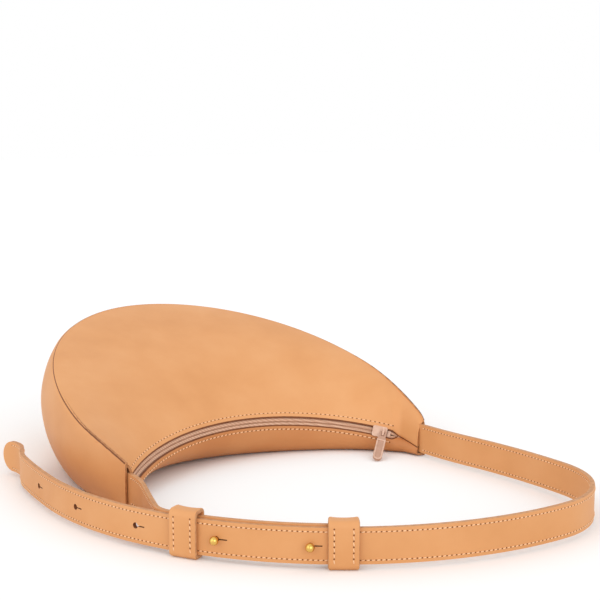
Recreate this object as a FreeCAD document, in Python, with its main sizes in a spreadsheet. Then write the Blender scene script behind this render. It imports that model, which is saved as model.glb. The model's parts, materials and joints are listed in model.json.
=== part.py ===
import FreeCAD, Part
import Sketcher
import math
import os

from FreeCAD import Placement, Rotation, Vector

# Half moon bag lying on its back panel. X runs along the line through the two strap tips, +Y points to the
# full round side, +Z is up. The origin is on the flat underside of the back panel, on the plane of symmetry.

doc = FreeCAD.newDocument("half_moon_bag")

# Driving dimensions in millimetres and degrees
sheet = doc.addObject("Spreadsheet::Sheet", "Dimensions")
sizes = {
    "tip_half_span": 141.0,      # centre plane to the outside of a tip
    "tip_width": 10.0,           # across the sleeve that holds a strap end
    "tip_height": 36.0,
    "bag_depth": 228.0,          # tip line to the middle of the round side
    "bag_height": 111.0,         # gusset height at the middle of the round side
    "height_power": 0.9,         # how the gusset height grows from the tips
    "round_centre": 42.0,        # tip line to the widest place of the round side
    "inner_rise": 72.0,          # tip line to the middle of the hollow side
    "panel_centre": 150.0,       # tip line to the origin
    "gusset_bulge": 24.0,
    "gusset_peak": 0.44,         # share of the gusset's height where it stands out most
    "seam_flare": 16.0,          # top seam outside the bottom seam at the middle
    "front_crown": 11.0,
    "tip_crown": 5.5,
    "belly_tuck": 0.4,           # share of the hollow wall's height that it tucks under the bag
    "belly_bend": 0.42,          # share of that height where the wall stands out most
    "leather": 1.8,
    "seam_gap": 0.2,
    "seam_spread": 0.46,         # how fast the closed seam leaves the hollow wall behind a tip
    "floor_sink": 0.4,           # the back panel is made this far below the floor and then cut flat
    "zip_apex": 78.0,            # tip line to the zip at the middle
    "zip_tip_height": 8.0,       # height of the zip's plane at the tip line
    "zip_tilt": 15.6,
    "zip_left_room": 36.7645,    # from a tip to the end of the zip, along the zip's circle
    "zip_right_room": 30.9233,
    "zip_end_room": 2.5,         # degrees of open slot past the end of the zip
    "zip_fade": 8.0,             # degrees over which the slot closes to a seam
    "zip_face_tilt": 38.0,
    "coil_width": 2.4,
    "coil_depth": 2.4,
    "coil_slot": 1.4,            # between the two coils, where the slider's divider runs
    "tape_width": 7.0,
    "tape_thick": 0.5,
    "tape_room": 0.3,            # between the tape and the leather over it
    "front_tape_lean": 26.0,
    "back_tape_lean": -115.0,
    "zip_edge_cover": 0.6,       # tape left showing beside the coil
    "stop_length": 2.6,
    "slider_length": 12.4,
    "slider_height": 9.2,
    "slider_plate": 1.2,
    "slider_lift": 1.4,          # outer plate above the coil
    "slider_inner_height": 7.6,
    "slider_divider": 0.8,
    "slider_margin": 0.3,
    "slider_corner": 1.6,
    "bail_span": 7.0,
    "bail_thick": 1.6,
    "bail_opening": 3.0,
    "bail_wire": 1.1,
    "pull_length": 33.0,
    "pull_width": 7.6,
    "pull_thick": 1.6,
    "pull_neck": 5.6,
    "pull_eye": 4.4,
    "pull_eye_width": 2.6,
    "pull_bar": 1.6,
    "strap_width": 24.0,
    "strap_ply": 1.6,
    "strap_space": 0.4,          # between the long and the short strap
    "strap_side_room": 0.4,      # between a strap and the gusset in a tip
    "strap_in_tip": 14.0,
    "long_lead": 2.0,            # straight run of the long strap outside its tip
    "first_bend": 400.0,         # bend radii and turns of the long strap, in order from the right tip
    "first_turn": 7.9,
    "side_bend": 463.0,
    "side_turn": 12.0,
    "end_bend": 75.4,
    "end_turn": 83.5,
    "front_bend": 246.0,
    "front_turn": 15.5,
    "strap_span": 282.0,         # tips this far apart give that bend its own radius
    "lap_radius": 244.6,         # long strap where the short strap lies behind it
    "lap_turn": 80.8,
    "tail_bend": 600.0,
    "tail_turn": 5.5,
    "dip_bend": 90.0,
    "dip_turn": 18.2,
    "curl_bend": 32.0,
    "curl_turn": 41.0,
    "right_keeper_at": 96.0,     # along the long strap from the start of that bend
    "stud_at": 117.0,
    "left_keeper_at": 201.2,
    "tail_hinge_at": 225.7,      # where the free tail leaves the left keeper
    "tail_hinge_room": 0.2,
    "short_lead": 3.0,           # straight run of the short strap outside its tip
    "short_first_bend": 80.0,
    "short_first_turn": 19.0,
    "short_strap_bend": 20.0,    # bend where it turns in behind the long strap
    "short_strap_end": 90.0,     # its end, along the long strap from the start of the lap
    "hole_pitch": 61.6,
    "hole_size": 4.2,
    "slit_length": 5.5,
    "slit_width": 0.8,
    "keeper_width": 19.5,
    "keeper_wall": 3.0,
    "keeper_room": 0.5,
    "stud_ball": 6.0,
    "stud_neck": 3.6,
    "stud_stand": 1.2,           # neck showing between the strap and the ball
    "screw_head": 8.0,
    "screw_head_thick": 1.2,
    "screw_shank": 2.2,
    "screw_reach": 3.6,          # thread inside the stud
    "screw_room": 0.1,
}
for row, (name, value) in enumerate(sizes.items(), start=1):
    sheet.set("A%d" % row, name)
    sheet.set("B%d" % row, str(value))
    sheet.setAlias("B%d" % row, name)
doc.recompute()


tiny = 0.001         # lengths nearer than this count as equal
fold_middle = 135    # degrees from a strap's heading to the middle of the round knuckle at its hinge end


def size(name):
    return float(getattr(sheet, name))


def sind(angle):
    return math.sin(math.radians(angle))


def cosd(angle):
    return math.cos(math.radians(angle))


def bind(item, prop, formula):
    for name in sorted(sizes, key=len, reverse=True):
        formula = formula.replace("[" + name + "]", "Dimensions." + name)
    item.setExpression(prop, formula)


nodes = []


def keep(item, label):
    item.Label = label
    nodes.append(item)
    return item


leather = size("leather")
gap = size("seam_gap")
tip_y = -size("panel_centre")

# Outline of the bag seen from above: a circle on the hollow side, an ellipse on the round side
inner_half = size("tip_half_span") - size("tip_width")
inner_radius = (inner_half ** 2 + size("inner_rise") ** 2) / (2 * size("inner_rise"))
inner_centre_y = tip_y + size("inner_rise") - inner_radius
inner_turn = math.asin(inner_half / inner_radius)
round_y = size("bag_depth") - size("round_centre")
round_turn = math.acos(-size("round_centre") / round_y)
round_x = size("tip_half_span") / math.sin(round_turn)

# The zip lies on a circle in a plane that rises towards the round side
zip_tilt = size("zip_tilt")
zip_centre_y = inner_centre_y
zip_centre_z = size("zip_tip_height") + math.tan(math.radians(zip_tilt)) * (zip_centre_y - tip_y)
zip_radius = (tip_y + size("zip_apex") - zip_centre_y) / cosd(zip_tilt)
zip_left = math.degrees(inner_turn - size("zip_left_room") / zip_radius)
zip_right = math.degrees(inner_turn - size("zip_right_room") / zip_radius)
zip_frame = Placement(Vector(0, zip_centre_y, zip_centre_z), Rotation(Vector(1, 0, 0), zip_tilt))


class Station:
    # One upright section of the bag, from the hollow side to the round side; q runs from -1 to 1

    def __init__(self, q):
        turn = q * inner_turn
        self.foot = Vector(inner_radius * math.sin(turn), inner_centre_y + inner_radius * math.cos(turn), 0)
        angle = q * round_turn
        outer = Vector(round_x * math.sin(angle), tip_y + size("round_centre") + round_y * math.cos(angle), 0)
        self.width = outer.sub(self.foot).Length
        self.along = outer.sub(self.foot).normalize()
        share = max(0.0, (outer.y - tip_y) / size("bag_depth"))
        rise = size("bag_height") - size("tip_height")
        self.height = size("tip_height") + rise * share ** size("height_power")
        self.bulge = max(gap, size("gusset_bulge") * math.sqrt(share))
        self.flare = size("seam_flare") * share
        self.crown = size("front_crown") * share + size("tip_crown") * (1 - share)
        self.place_zip()

    def place_zip(self):
        # Where the section meets the zip's circle, seen from above
        stretch = cosd(zip_tilt)
        start = Vector(self.foot.x, (self.foot.y - zip_centre_y) / stretch, 0)
        step = Vector(self.along.x, self.along.y / stretch, 0)
        a = step.dot(step)
        b = start.dot(step)
        c = start.dot(start) - zip_radius ** 2
        reach = (-b + math.sqrt(b * b - a * c)) / a
        seam_limit = leather / 2 + size("seam_spread") * (self.width - size("tip_width"))
        self.zip_r = min(reach, seam_limit)
        place = self.foot + self.along * self.zip_r
        self.zip_z = size("zip_tip_height") + math.tan(math.radians(zip_tilt)) * (place.y - tip_y)
        angle = math.degrees(math.atan2(place.x, (place.y - zip_centre_y) / stretch))
        zip_end = zip_right if angle > 0 else zip_left
        fade = (abs(angle) - zip_end - size("zip_end_room")) / size("zip_fade")
        fade = min(1.0, max(0.0, fade))
        self.open = 1 - fade * fade * (3 - 2 * fade)

    def point(self, r, z):
        return self.foot + self.along * r + Vector(0, 0, z)


stations_each_side = 8
stations = []
for step in range(-stations_each_side, stations_each_side + 1):
    stations.append(Station(math.sin(math.pi / 2 * step / stations_each_side)))


def turned(angle, length):
    return Vector(cosd(angle) * length, sind(angle) * length, 0)


# The leather edges beside the zip, as offsets (across, up) from the zip's centre
half_chain = size("coil_slot") / 2 + size("coil_width")
face_angle = 90 - size("zip_face_tilt") + zip_tilt
front_lean = size("front_tape_lean") + zip_tilt
back_lean = size("back_tape_lean") + zip_tilt
skin = size("tape_thick") / 2 + size("tape_room")
front_root = turned(face_angle, half_chain) + turned(front_lean, size("zip_edge_cover"))
front_edge_in = front_root + turned(front_lean + 90, skin)
front_edge_out = front_root + turned(front_lean + 90, skin + leather)
back_root = turned(face_angle + 180, half_chain) + turned(back_lean, size("zip_edge_cover"))
back_edge_in = back_root + turned(back_lean - 90, skin)
back_edge_out = back_root + turned(back_lean - 90, skin + leather)


def edge_point(station, offset, seam_r, seam_z):
    r = station.zip_r + station.open * offset.x + (1 - station.open) * seam_r
    z = station.zip_z + station.open * offset.y + (1 - station.open) * seam_z
    return r, z


def arc(a, b, c):
    return Part.Arc(a, b, c).toShape()


def line(a, b):
    return Part.makeLine(a, b)


def bowed(start, end, rise):
    # Middle of an arc from start to end in a section, raised to the left of the way
    dr, dz = end[0] - start[0], end[1] - start[1]
    length = math.hypot(dr, dz)
    return (start[0] + end[0]) / 2 - dz / length * rise, (start[1] + end[1]) / 2 + dr / length * rise


def front_section(s):
    top = s.width + s.flare
    out_a = edge_point(s, front_edge_out, 0, gap / 2)
    out_b = (top - gap, s.height)
    in_a = edge_point(s, front_edge_in, leather, gap / 2)
    in_b = (top - leather - gap, s.height - leather)
    out_m = bowed(out_a, out_b, s.crown)
    in_m = bowed(in_a, in_b, s.crown - leather / 4)
    p = [s.point(*v) for v in (out_a, out_m, out_b, in_b, in_m, in_a)]
    return Part.Wire([arc(p[0], p[1], p[2]), line(p[2], p[3]), arc(p[3], p[4], p[5]), line(p[5], p[0])])


def gusset_section(s):
    out_a, out_b = (s.width, gap), (s.width + s.flare, s.height - gap)
    in_a, in_b = (s.width - leather, leather + gap), (s.width + s.flare - leather, s.height - leather - gap)
    out_m = (s.width + s.flare / 2 + s.bulge, s.height * size("gusset_peak"))
    in_m = (out_m[0] - leather, out_m[1])
    p = [s.point(*v) for v in (out_a, out_m, out_b, in_b, in_m, in_a)]
    return Part.Wire([arc(p[0], p[1], p[2]), line(p[2], p[3]), arc(p[3], p[4], p[5]), line(p[5], p[0])])


def back_section(s):
    out_a = edge_point(s, back_edge_out, 0, -gap / 2)
    in_a = edge_point(s, back_edge_in, leather, -gap / 2)
    sink = size("floor_sink")
    bend = size("belly_bend") * out_a[1]
    tuck = size("belly_tuck") * out_a[1]
    out_m = (0, bend)
    out_b = (tuck, -sink)
    in_m = (leather, bend + leather / 4)
    in_b = (tuck + leather / 3, leather)
    far_out, far_in = (s.width - gap, -sink), (s.width - leather - gap, leather)
    p = [s.point(*v) for v in (out_a, out_m, out_b, far_out, far_in, in_b, in_m, in_a)]
    return Part.Wire([
        arc(p[0], p[1], p[2]), line(p[2], p[3]), line(p[3], p[4]),
        line(p[4], p[5]), arc(p[5], p[6], p[7]), line(p[7], p[0]),
    ])


def lofted(section, label):
    item = doc.addObject("Part::Feature", label + "_shell")
    item.Shape = Part.makeLoft([section(s) for s in stations], True, False)
    return item


keep(lofted(front_section, "front_panel"), "front_panel")
keep(lofted(gusset_section, "gusset"), "gusset")
back_shell = lofted(back_section, "back_panel")
floor_cut = doc.addObject("Part::Box", "floor_cut")
bind(floor_cut, "Length", "4 * [tip_half_span]")
bind(floor_cut, "Width", "4 * [bag_depth]")
bind(floor_cut, "Height", "[leather]")
floor_cut.Placement = Placement(
    Vector(-2 * size("tip_half_span"), -2 * size("bag_depth"), -leather), Rotation()
)
back_panel = doc.addObject("Part::Cut", "back_panel_cut")
back_panel.Base = back_shell
back_panel.Tool = floor_cut
keep(back_panel, "back_panel")


# Zip: every piece is a band turned about the axis of the zip's circle
face_tilt = size("zip_face_tilt")


def chain_point(across, inward):
    # A place in the zip's section, from the zip's centre: across towards the front panel, inward into the bag
    r = zip_radius + across * sind(face_tilt) + inward * cosd(face_tilt)
    return Vector(r, across * cosd(face_tilt) - inward * sind(face_tilt), 0)


def origin_plane(body, role):
    for item in body.Origin.OriginFeatures:
        if item.Role == role:
            return item


def new_sketch(body, role, name):
    sketch = body.newObject("Sketcher::SketchObject", name)
    sketch.AttachmentSupport = [(origin_plane(body, role), "")]
    sketch.MapMode = "FlatFace"
    return sketch


def add_polygon(sketch, points):
    for a, b in zip(points, points[1:] + points[:1]):
        sketch.addGeometry(Part.LineSegment(a, b), False)


def turned_band(label, draw, frame, middle, angle):
    # A section drawn in the XZ plane and turned about Z, centred on the given direction in degrees from X
    body = doc.addObject("PartDesign::Body", label + "_body")
    sketch = new_sketch(body, "XZ_Plane", label + "_section")
    draw(sketch)
    band = body.newObject("PartDesign::Revolution", label + "_turn")
    band.Profile = sketch
    band.ReferenceAxis = (sketch, ["V_Axis"])
    bind(band, "Angle", angle)
    band.Midplane = True
    body.Tip = band
    body.Placement = frame.multiply(Placement(Vector(), Rotation(Vector(0, 0, 1), middle)))
    return keep(body, label)


def zip_band(label, points, middle, angle):
    turned_band(label, lambda sketch: add_polygon(sketch, points), zip_frame, 90 - middle, angle)


def tape_points(side, lean):
    root = chain_point(side * half_chain, 0)
    run = turned(lean, size("tape_width") - size("coil_width"))
    skew = turned(lean + 90, size("tape_thick") / 2)
    return [root + skew, root - skew, root + run - skew, root + run + skew]


def coil_points(side):
    near = side * size("coil_slot") / 2
    far = side * (half_chain - gap)
    deep = size("coil_depth") / 2
    mid = (near + far) / 2
    return [
        chain_point(near, -deep / 2), chain_point(near, deep / 2), chain_point(mid, deep),
        chain_point(far, deep / 2), chain_point(far, -deep / 2), chain_point(mid, -deep),
    ]


whole_zip = "%.6f - ([zip_left_room] + [zip_right_room]) / %.6f * 180 / pi" % (
    2 * math.degrees(inner_turn), zip_radius
)
zip_middle = (zip_right - zip_left) / 2
zip_band("zip_tape_front", tape_points(1, size("front_tape_lean")), zip_middle, whole_zip)
zip_band("zip_tape_back", tape_points(-1, size("back_tape_lean")), zip_middle, whole_zip)
zip_band("zip_coil_front", coil_points(1), zip_middle, whole_zip)
zip_band("zip_coil_back", coil_points(-1), zip_middle, whole_zip)

stop_turn = math.degrees(size("stop_length") / zip_radius)
stop_away = stop_turn / 2 + math.degrees(gap / zip_radius)
stop_half = half_chain - gap
stop_deep = size("coil_depth") / 2
stop_points = [
    chain_point(-stop_half, -stop_deep), chain_point(-stop_half, stop_deep),
    chain_point(stop_half, stop_deep), chain_point(stop_half, -stop_deep),
]
stop_angle = "[stop_length] / %.6f * 180 / pi" % zip_radius
zip_band("zip_stop_left", stop_points, -zip_left - stop_away, stop_angle)
zip_band("zip_stop_right", stop_points, zip_right + stop_away, stop_angle)

# Zip slider at the right end of the zip: local X along the zip, Y to the front panel, Z out of the bag
slider_turn = math.degrees((size("slider_length") / 2 + size("slider_margin")) / zip_radius)
slider_at = zip_right - slider_turn
radial = Vector(sind(slider_at), cosd(slider_at), 0)
axial = Vector(0, 0, 1)
run_way = zip_frame.Rotation.multVec(Vector(cosd(slider_at), -sind(slider_at), 0))
across_way = zip_frame.Rotation.multVec(radial * sind(face_tilt) + axial * cosd(face_tilt))
out_way = run_way.cross(across_way)
slider_frame = Placement(
    zip_frame.multVec(radial * zip_radius), Rotation(run_way, across_way, out_way, "XYZ")
)
plate_low = size("coil_depth") / 2 + size("slider_lift")
plate_top = plate_low + size("slider_plate")


def slider_box(name, length, width, height, corner):
    box = doc.addObject("Part::Box", name)
    bind(box, "Length", length)
    bind(box, "Width", width)
    bind(box, "Height", height)
    box.Placement = slider_frame.multiply(Placement(corner, Rotation()))
    return box


half_long = size("slider_length") / 2
outer_plate = slider_box(
    "slider_outer_plate", "[slider_length]", "[slider_height]", "[slider_plate]",
    Vector(-half_long, -size("slider_height") / 2, plate_low),
)
inner_low = -(size("coil_depth") / 2 + size("slider_lift") / 2)
inner_plate = slider_box(
    "slider_inner_plate", "[slider_length]", "[slider_inner_height]", "[slider_plate]",
    Vector(-half_long, -size("slider_inner_height") / 2, inner_low - size("slider_plate")),
)
divider = slider_box(
    "slider_post", "[slider_length] / 2", "[slider_divider]", "[coil_depth] + 1.5 * [slider_lift]",
    Vector(-size("slider_length") / 4, -size("slider_divider") / 2, inner_low),
)
bail_at = size("slider_length") / 4
bail_block = slider_box(
    "bail_block", "[bail_thick]", "[bail_span]", "[bail_opening] + [bail_wire]",
    Vector(bail_at - size("bail_thick") / 2, -size("bail_span") / 2, plate_top),
)
bail_window = slider_box(
    "bail_window", "2 * [bail_thick]", "[bail_span] - 2 * [bail_wire]", "[bail_opening]",
    Vector(bail_at - size("bail_thick"), size("bail_wire") - size("bail_span") / 2, plate_top),
)
bail = doc.addObject("Part::Cut", "bail")
bail.Base = bail_block
bail.Tool = bail_window
slider = doc.addObject("Part::MultiFuse", "slider")
slider.Shapes = [outer_plate, inner_plate, divider, bail]
doc.recompute()


def rounded(base, edges, radius, name):
    item = doc.addObject("Part::Fillet", name)
    item.Base = base
    item.Edges = [(index, radius, radius) for index in edges]
    return item


def upright_edges(shape, way, length):
    # Numbers of the straight edges that run along a direction and have the given length
    found = []
    for index, edge in enumerate(shape.Edges, start=1):
        span = edge.Vertexes[-1].Point.sub(edge.Vertexes[0].Point)
        if abs(span.Length - length) < tiny and abs(span.dot(way)) > (1 - tiny) * length:
            found.append(index)
    return found


corner_edges = upright_edges(slider.Shape, out_way, size("slider_plate"))
keep(rounded(slider, corner_edges, size("slider_corner"), "slider_rounded"), "zip_slider")

# Zip pull: hangs from the bail and rests with its round end on the floor
bar_lift = plate_top + size("bail_opening") / 2
bar_place = slider_frame.multVec(Vector(bail_at, -size("bail_wire") / 2, bar_lift))
up = Vector(0, 0, 1)
lift_way = up.sub(run_way * up.dot(run_way)).normalize()
hang_way = run_way.cross(lift_way)
tip_reach = size("pull_length") - size("pull_bar") / 2
drop = math.asin((bar_place.z - size("pull_thick")) / (tip_reach * lift_way.z))
pull_way = hang_way * math.cos(drop) - lift_way * math.sin(drop)
pull_body = doc.addObject("PartDesign::Body", "pull_body")
pull_sketch = new_sketch(pull_body, "XY_Plane", "pull_outline")
neck = size("pull_neck") / 2
half = size("pull_width") / 2
bar = size("pull_bar") / 2
eye_end = bar + size("pull_eye")
shoulder = eye_end + size("pull_width") / 2
round_start = tip_reach - half
outline = [
    Vector(half, round_start, 0), Vector(half, shoulder, 0), Vector(neck, eye_end, 0),
    Vector(neck, -bar, 0), Vector(-neck, -bar, 0),
    Vector(-neck, eye_end, 0), Vector(-half, shoulder, 0), Vector(-half, round_start, 0),
]
for a, b in zip(outline, outline[1:]):
    pull_sketch.addGeometry(Part.LineSegment(a, b), False)
pull_sketch.addGeometry(Part.Arc(outline[-1], Vector(0, tip_reach, 0), outline[0]), False)
eye_half = size("pull_eye_width") / 2
add_polygon(pull_sketch, [
    Vector(eye_half, bar, 0), Vector(eye_half, eye_end, 0),
    Vector(-eye_half, eye_end, 0), Vector(-eye_half, bar, 0),
])
pull_pad = pull_body.newObject("PartDesign::Pad", "pull_pad")
pull_pad.Profile = pull_sketch
bind(pull_pad, "Length", "[pull_thick]")
pull_pad.Midplane = True
pull_body.Tip = pull_pad
pull_body.Placement = Placement(bar_place, Rotation(run_way, pull_way, run_way.cross(pull_way), "XYZ"))
keep(pull_body, "zip_pull")

# Straps stand on edge. A route is straight runs and tangent arcs seen from above.
ply = size("strap_ply")
strap_low = size("keeper_wall") + size("keeper_room")
strap_mid = strap_low + size("strap_width") / 2


class Route:
    def __init__(self, start, heading):
        self.pieces = []
        self.end = start
        self.heading = heading
        self.length = 0.0

    def straight(self, length):
        self.pieces.append((self.length, length, self.end, self.heading, 0.0))
        self.end = self.end + turned(self.heading, length)
        self.length += length

    def bend(self, radius, turn):
        # A positive turn goes to the left
        curve = math.copysign(1 / radius, turn)
        length = radius * math.radians(abs(turn))
        self.pieces.append((self.length, length, self.end, self.heading, curve))
        centre = self.end + turned(self.heading + 90, 1 / curve)
        self.heading += turn
        self.end = centre - turned(self.heading + 90, 1 / curve)
        self.length += length
        return centre

    def heading_at(self, way):
        for begin, length, start, heading, curve in self.pieces:
            if way <= begin + length or begin + length >= self.length:
                return heading + math.degrees(curve * (way - begin))

    def place(self, way, left):
        # The point at a distance along the route, set off to its left
        for begin, length, start, heading, curve in self.pieces:
            if way <= begin + length or begin + length >= self.length:
                break
        if curve == 0:
            return start + turned(heading, way - begin) + turned(heading + 90, left)
        centre = start + turned(heading + 90, 1 / curve)
        return centre - turned(self.heading_at(way) + 90, 1 / curve - left)

    def edges(self, first, last, left):
        found = []
        for begin, length, start, heading, curve in self.pieces:
            a = max(first, begin)
            b = min(last, begin + length)
            if b - a < tiny:
                continue
            start_place, end_place = self.place(a, left), self.place(b, left)
            if curve == 0:
                found.append(Part.LineSegment(start_place, end_place))
            else:
                found.append(Part.Arc(start_place, self.place((a + b) / 2, left), end_place))
        return found


def ribbon(label, route, first, last, side, knuckle=False):
    # One ply of a strap, lying to the left (side 1) or right (side -1) of the route
    body = doc.addObject("PartDesign::Body", label + "_body")
    sketch = new_sketch(body, "XY_Plane", label + "_outline")
    for left in (0, side * ply):
        for edge in route.edges(first, last, left):
            sketch.addGeometry(edge, False)
    sketch.addGeometry(Part.LineSegment(route.place(last, 0), route.place(last, side * ply)), False)
    axis, rim = route.place(first, 0), route.place(first, side * ply)
    if knuckle:
        heading = route.heading_at(first)
        back = axis - turned(heading, ply)
        halfway = axis + turned(heading + side * fold_middle, ply)
        sketch.addGeometry(Part.LineSegment(axis, back), False)
        sketch.addGeometry(Part.Arc(back, halfway, rim), False)
    else:
        sketch.addGeometry(Part.LineSegment(axis, rim), False)
    pad = body.newObject("PartDesign::Pad", label + "_pad")
    pad.Profile = sketch
    bind(pad, "Length", "[strap_width]")
    body.Tip = pad
    body.Placement = Placement(Vector(0, 0, strap_low), Rotation())
    return body


def cut(base, tools, name):
    item = doc.addObject("Part::Cut", name)
    item.Base = base
    if len(tools) == 1:
        item.Tool = tools[0]
    else:
        group = doc.addObject("Part::MultiFuse", name + "_tools")
        group.Shapes = tools
        item.Tool = group
    return item


# Long strap: from the right tip round the front to the free tail
strap_x = size("tip_half_span") - leather - size("strap_side_room") - ply
long_route = Route(Vector(strap_x, tip_y + size("strap_in_tip"), 0), -90)
long_route.straight(size("strap_in_tip") + size("long_lead"))
long_route.bend(size("first_bend"), size("first_turn"))
long_route.bend(size("side_bend"), -size("side_turn"))
long_route.bend(size("end_bend"), -size("end_turn"))
wider = 2 * size("tip_half_span") - size("strap_span")
long_route.bend(size("front_bend") + wider / math.radians(size("front_turn")), -size("front_turn"))
lap_start = long_route.length
lap_centre = long_route.bend(size("lap_radius"), -size("lap_turn"))
long_route.bend(size("tail_bend"), -size("tail_turn"))
long_route.bend(size("dip_bend"), -size("dip_turn"))
long_route.bend(size("curl_bend"), size("curl_turn"))
long_route.straight(size("strap_width") / 2)


def lap_polar(distance):
    # Direction from the lap's centre to a place on the long strap
    place = long_route.place(lap_start + distance, 0)
    return math.degrees(math.atan2(place.y - lap_centre.y, place.x - lap_centre.x))


# Short strap: from the left tip, then behind the long strap
short_radius = size("lap_radius") - 2 * ply - size("strap_space")
short_bend = size("short_strap_bend")
short_route = Route(Vector(-strap_x, tip_y + size("strap_in_tip"), 0), -90)
short_route.straight(size("strap_in_tip") + size("short_lead"))
short_route.bend(size("short_first_bend"), -size("short_first_turn"))
from_lap = short_route.end + turned(short_route.heading + 90, short_bend) - lap_centre
reach = from_lap.dot(turned(short_route.heading, 1))
room = (short_radius - short_bend) ** 2 - from_lap.dot(from_lap)
short_route.straight(math.sqrt(reach ** 2 + room) - reach)
bend_centre = short_route.end + turned(short_route.heading + 90, short_bend) - lap_centre
meet = math.degrees(math.atan2(bend_centre.y, bend_centre.x))
short_route.bend(short_bend, meet + 90 - short_route.heading)
short_route.bend(short_radius, lap_polar(size("short_strap_end")) - meet)

# Holes: a round hole with a slit beside it where a stud is buttoned
stud_count = 2
hole_count = 5
hole_ways = [size("stud_at") + i * size("hole_pitch") for i in range(hole_count)]
tail_way = lap_start + size("tail_hinge_at")
through = "4 * [strap_ply]"


def across_strap(way):
    # Frame at a place on the long strap: X back along the strap, Y up, Z out of the loop
    heading = long_route.heading_at(way)
    place = long_route.place(way, 0) + Vector(0, 0, strap_mid)
    back = turned(heading + 180, 1)
    return Placement(place, Rotation(back, up, back.cross(up), "XYZ"))


def keyhole(name, way):
    frame = across_strap(way)
    hole = doc.addObject("Part::Cylinder", name + "_hole")
    bind(hole, "Radius", "[hole_size] / 2")
    bind(hole, "Height", through)
    hole.Placement = frame.multiply(Placement(Vector(0, 0, -2 * ply), Rotation()))
    slit = doc.addObject("Part::Box", name + "_slit")
    bind(slit, "Length", "[hole_size] / 2 + [slit_length]")
    bind(slit, "Width", "[slit_width]")
    bind(slit, "Height", through)
    slit.Placement = frame.multiply(Placement(Vector(0, -size("slit_width") / 2, -2 * ply), Rotation()))
    return [hole, slit]


strap_tools, tail_tools = [], []
for number, way in enumerate(hole_ways, start=1):
    tools = strap_tools if number <= stud_count else tail_tools
    tools.extend(keyhole("keyhole_%d" % number, lap_start + way))

socket = doc.addObject("Part::Cylinder", "tail_socket")
bind(socket, "Radius", "[strap_ply] + [tail_hinge_room]")
bind(socket, "Height", "2 * [strap_width]")
socket.Placement = Placement(long_route.place(tail_way, 0), Rotation())

end_frame = across_strap(long_route.length - size("strap_width") / 2)
tongue_block = doc.addObject("Part::Box", "tongue_block")
bind(tongue_block, "Length", "[strap_width]")
bind(tongue_block, "Width", "2 * [strap_width]")
bind(tongue_block, "Height", through)
tongue_block.Placement = end_frame.multiply(
    Placement(Vector(-size("strap_width"), -size("strap_width"), -2 * ply), Rotation())
)
tongue_disc = doc.addObject("Part::Cylinder", "tongue_disc")
bind(tongue_disc, "Radius", "[strap_width] / 2")
bind(tongue_disc, "Height", through)
tongue_disc.Placement = end_frame.multiply(Placement(Vector(0, 0, -2 * ply), Rotation()))
tongue_corners = cut(tongue_block, [tongue_disc], "tongue_corners")

for side, word in ((1, "outer"), (-1, "inner")):
    strap_name = "long_strap_%s_ply" % word
    strap = ribbon(strap_name, long_route, 0, tail_way, side)
    keep(cut(strap, strap_tools + [socket], strap_name + "_cut"), strap_name)
    tail_name = "strap_tail_%s_ply" % word
    tail = ribbon(tail_name, long_route, tail_way, long_route.length, side, knuckle=True)
    keep(cut(tail, tail_tools + [tongue_corners], tail_name + "_cut"), tail_name)

# Studs on the short strap, each held by a screw from behind
face_radius = short_radius + ply
studs = []
for way in reversed(hole_ways[:stud_count]):
    polar = lap_polar(way)
    out = turned(polar, 1)
    place = lap_centre + turned(polar, face_radius) + Vector(0, 0, strap_mid)
    studs.append(Placement(place, Rotation(up.cross(out), up, out, "XYZ")))

screw_tools = []
for number, frame in enumerate(studs, start=1):
    bore = doc.addObject("Part::Cylinder", "screw_way_%d" % number)
    bind(bore, "Radius", "[screw_shank] / 2 + [screw_room]")
    bind(bore, "Height", through)
    bore.Placement = frame.multiply(Placement(Vector(0, 0, -3 * ply), Rotation()))
    screw_tools.append(bore)

for side, word in ((1, "inner"), (-1, "outer")):
    strap_name = "short_strap_%s_ply" % word
    strap = ribbon(strap_name, short_route, 0, short_route.length, side)
    keep(cut(strap, screw_tools, strap_name + "_cut"), strap_name)

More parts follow.
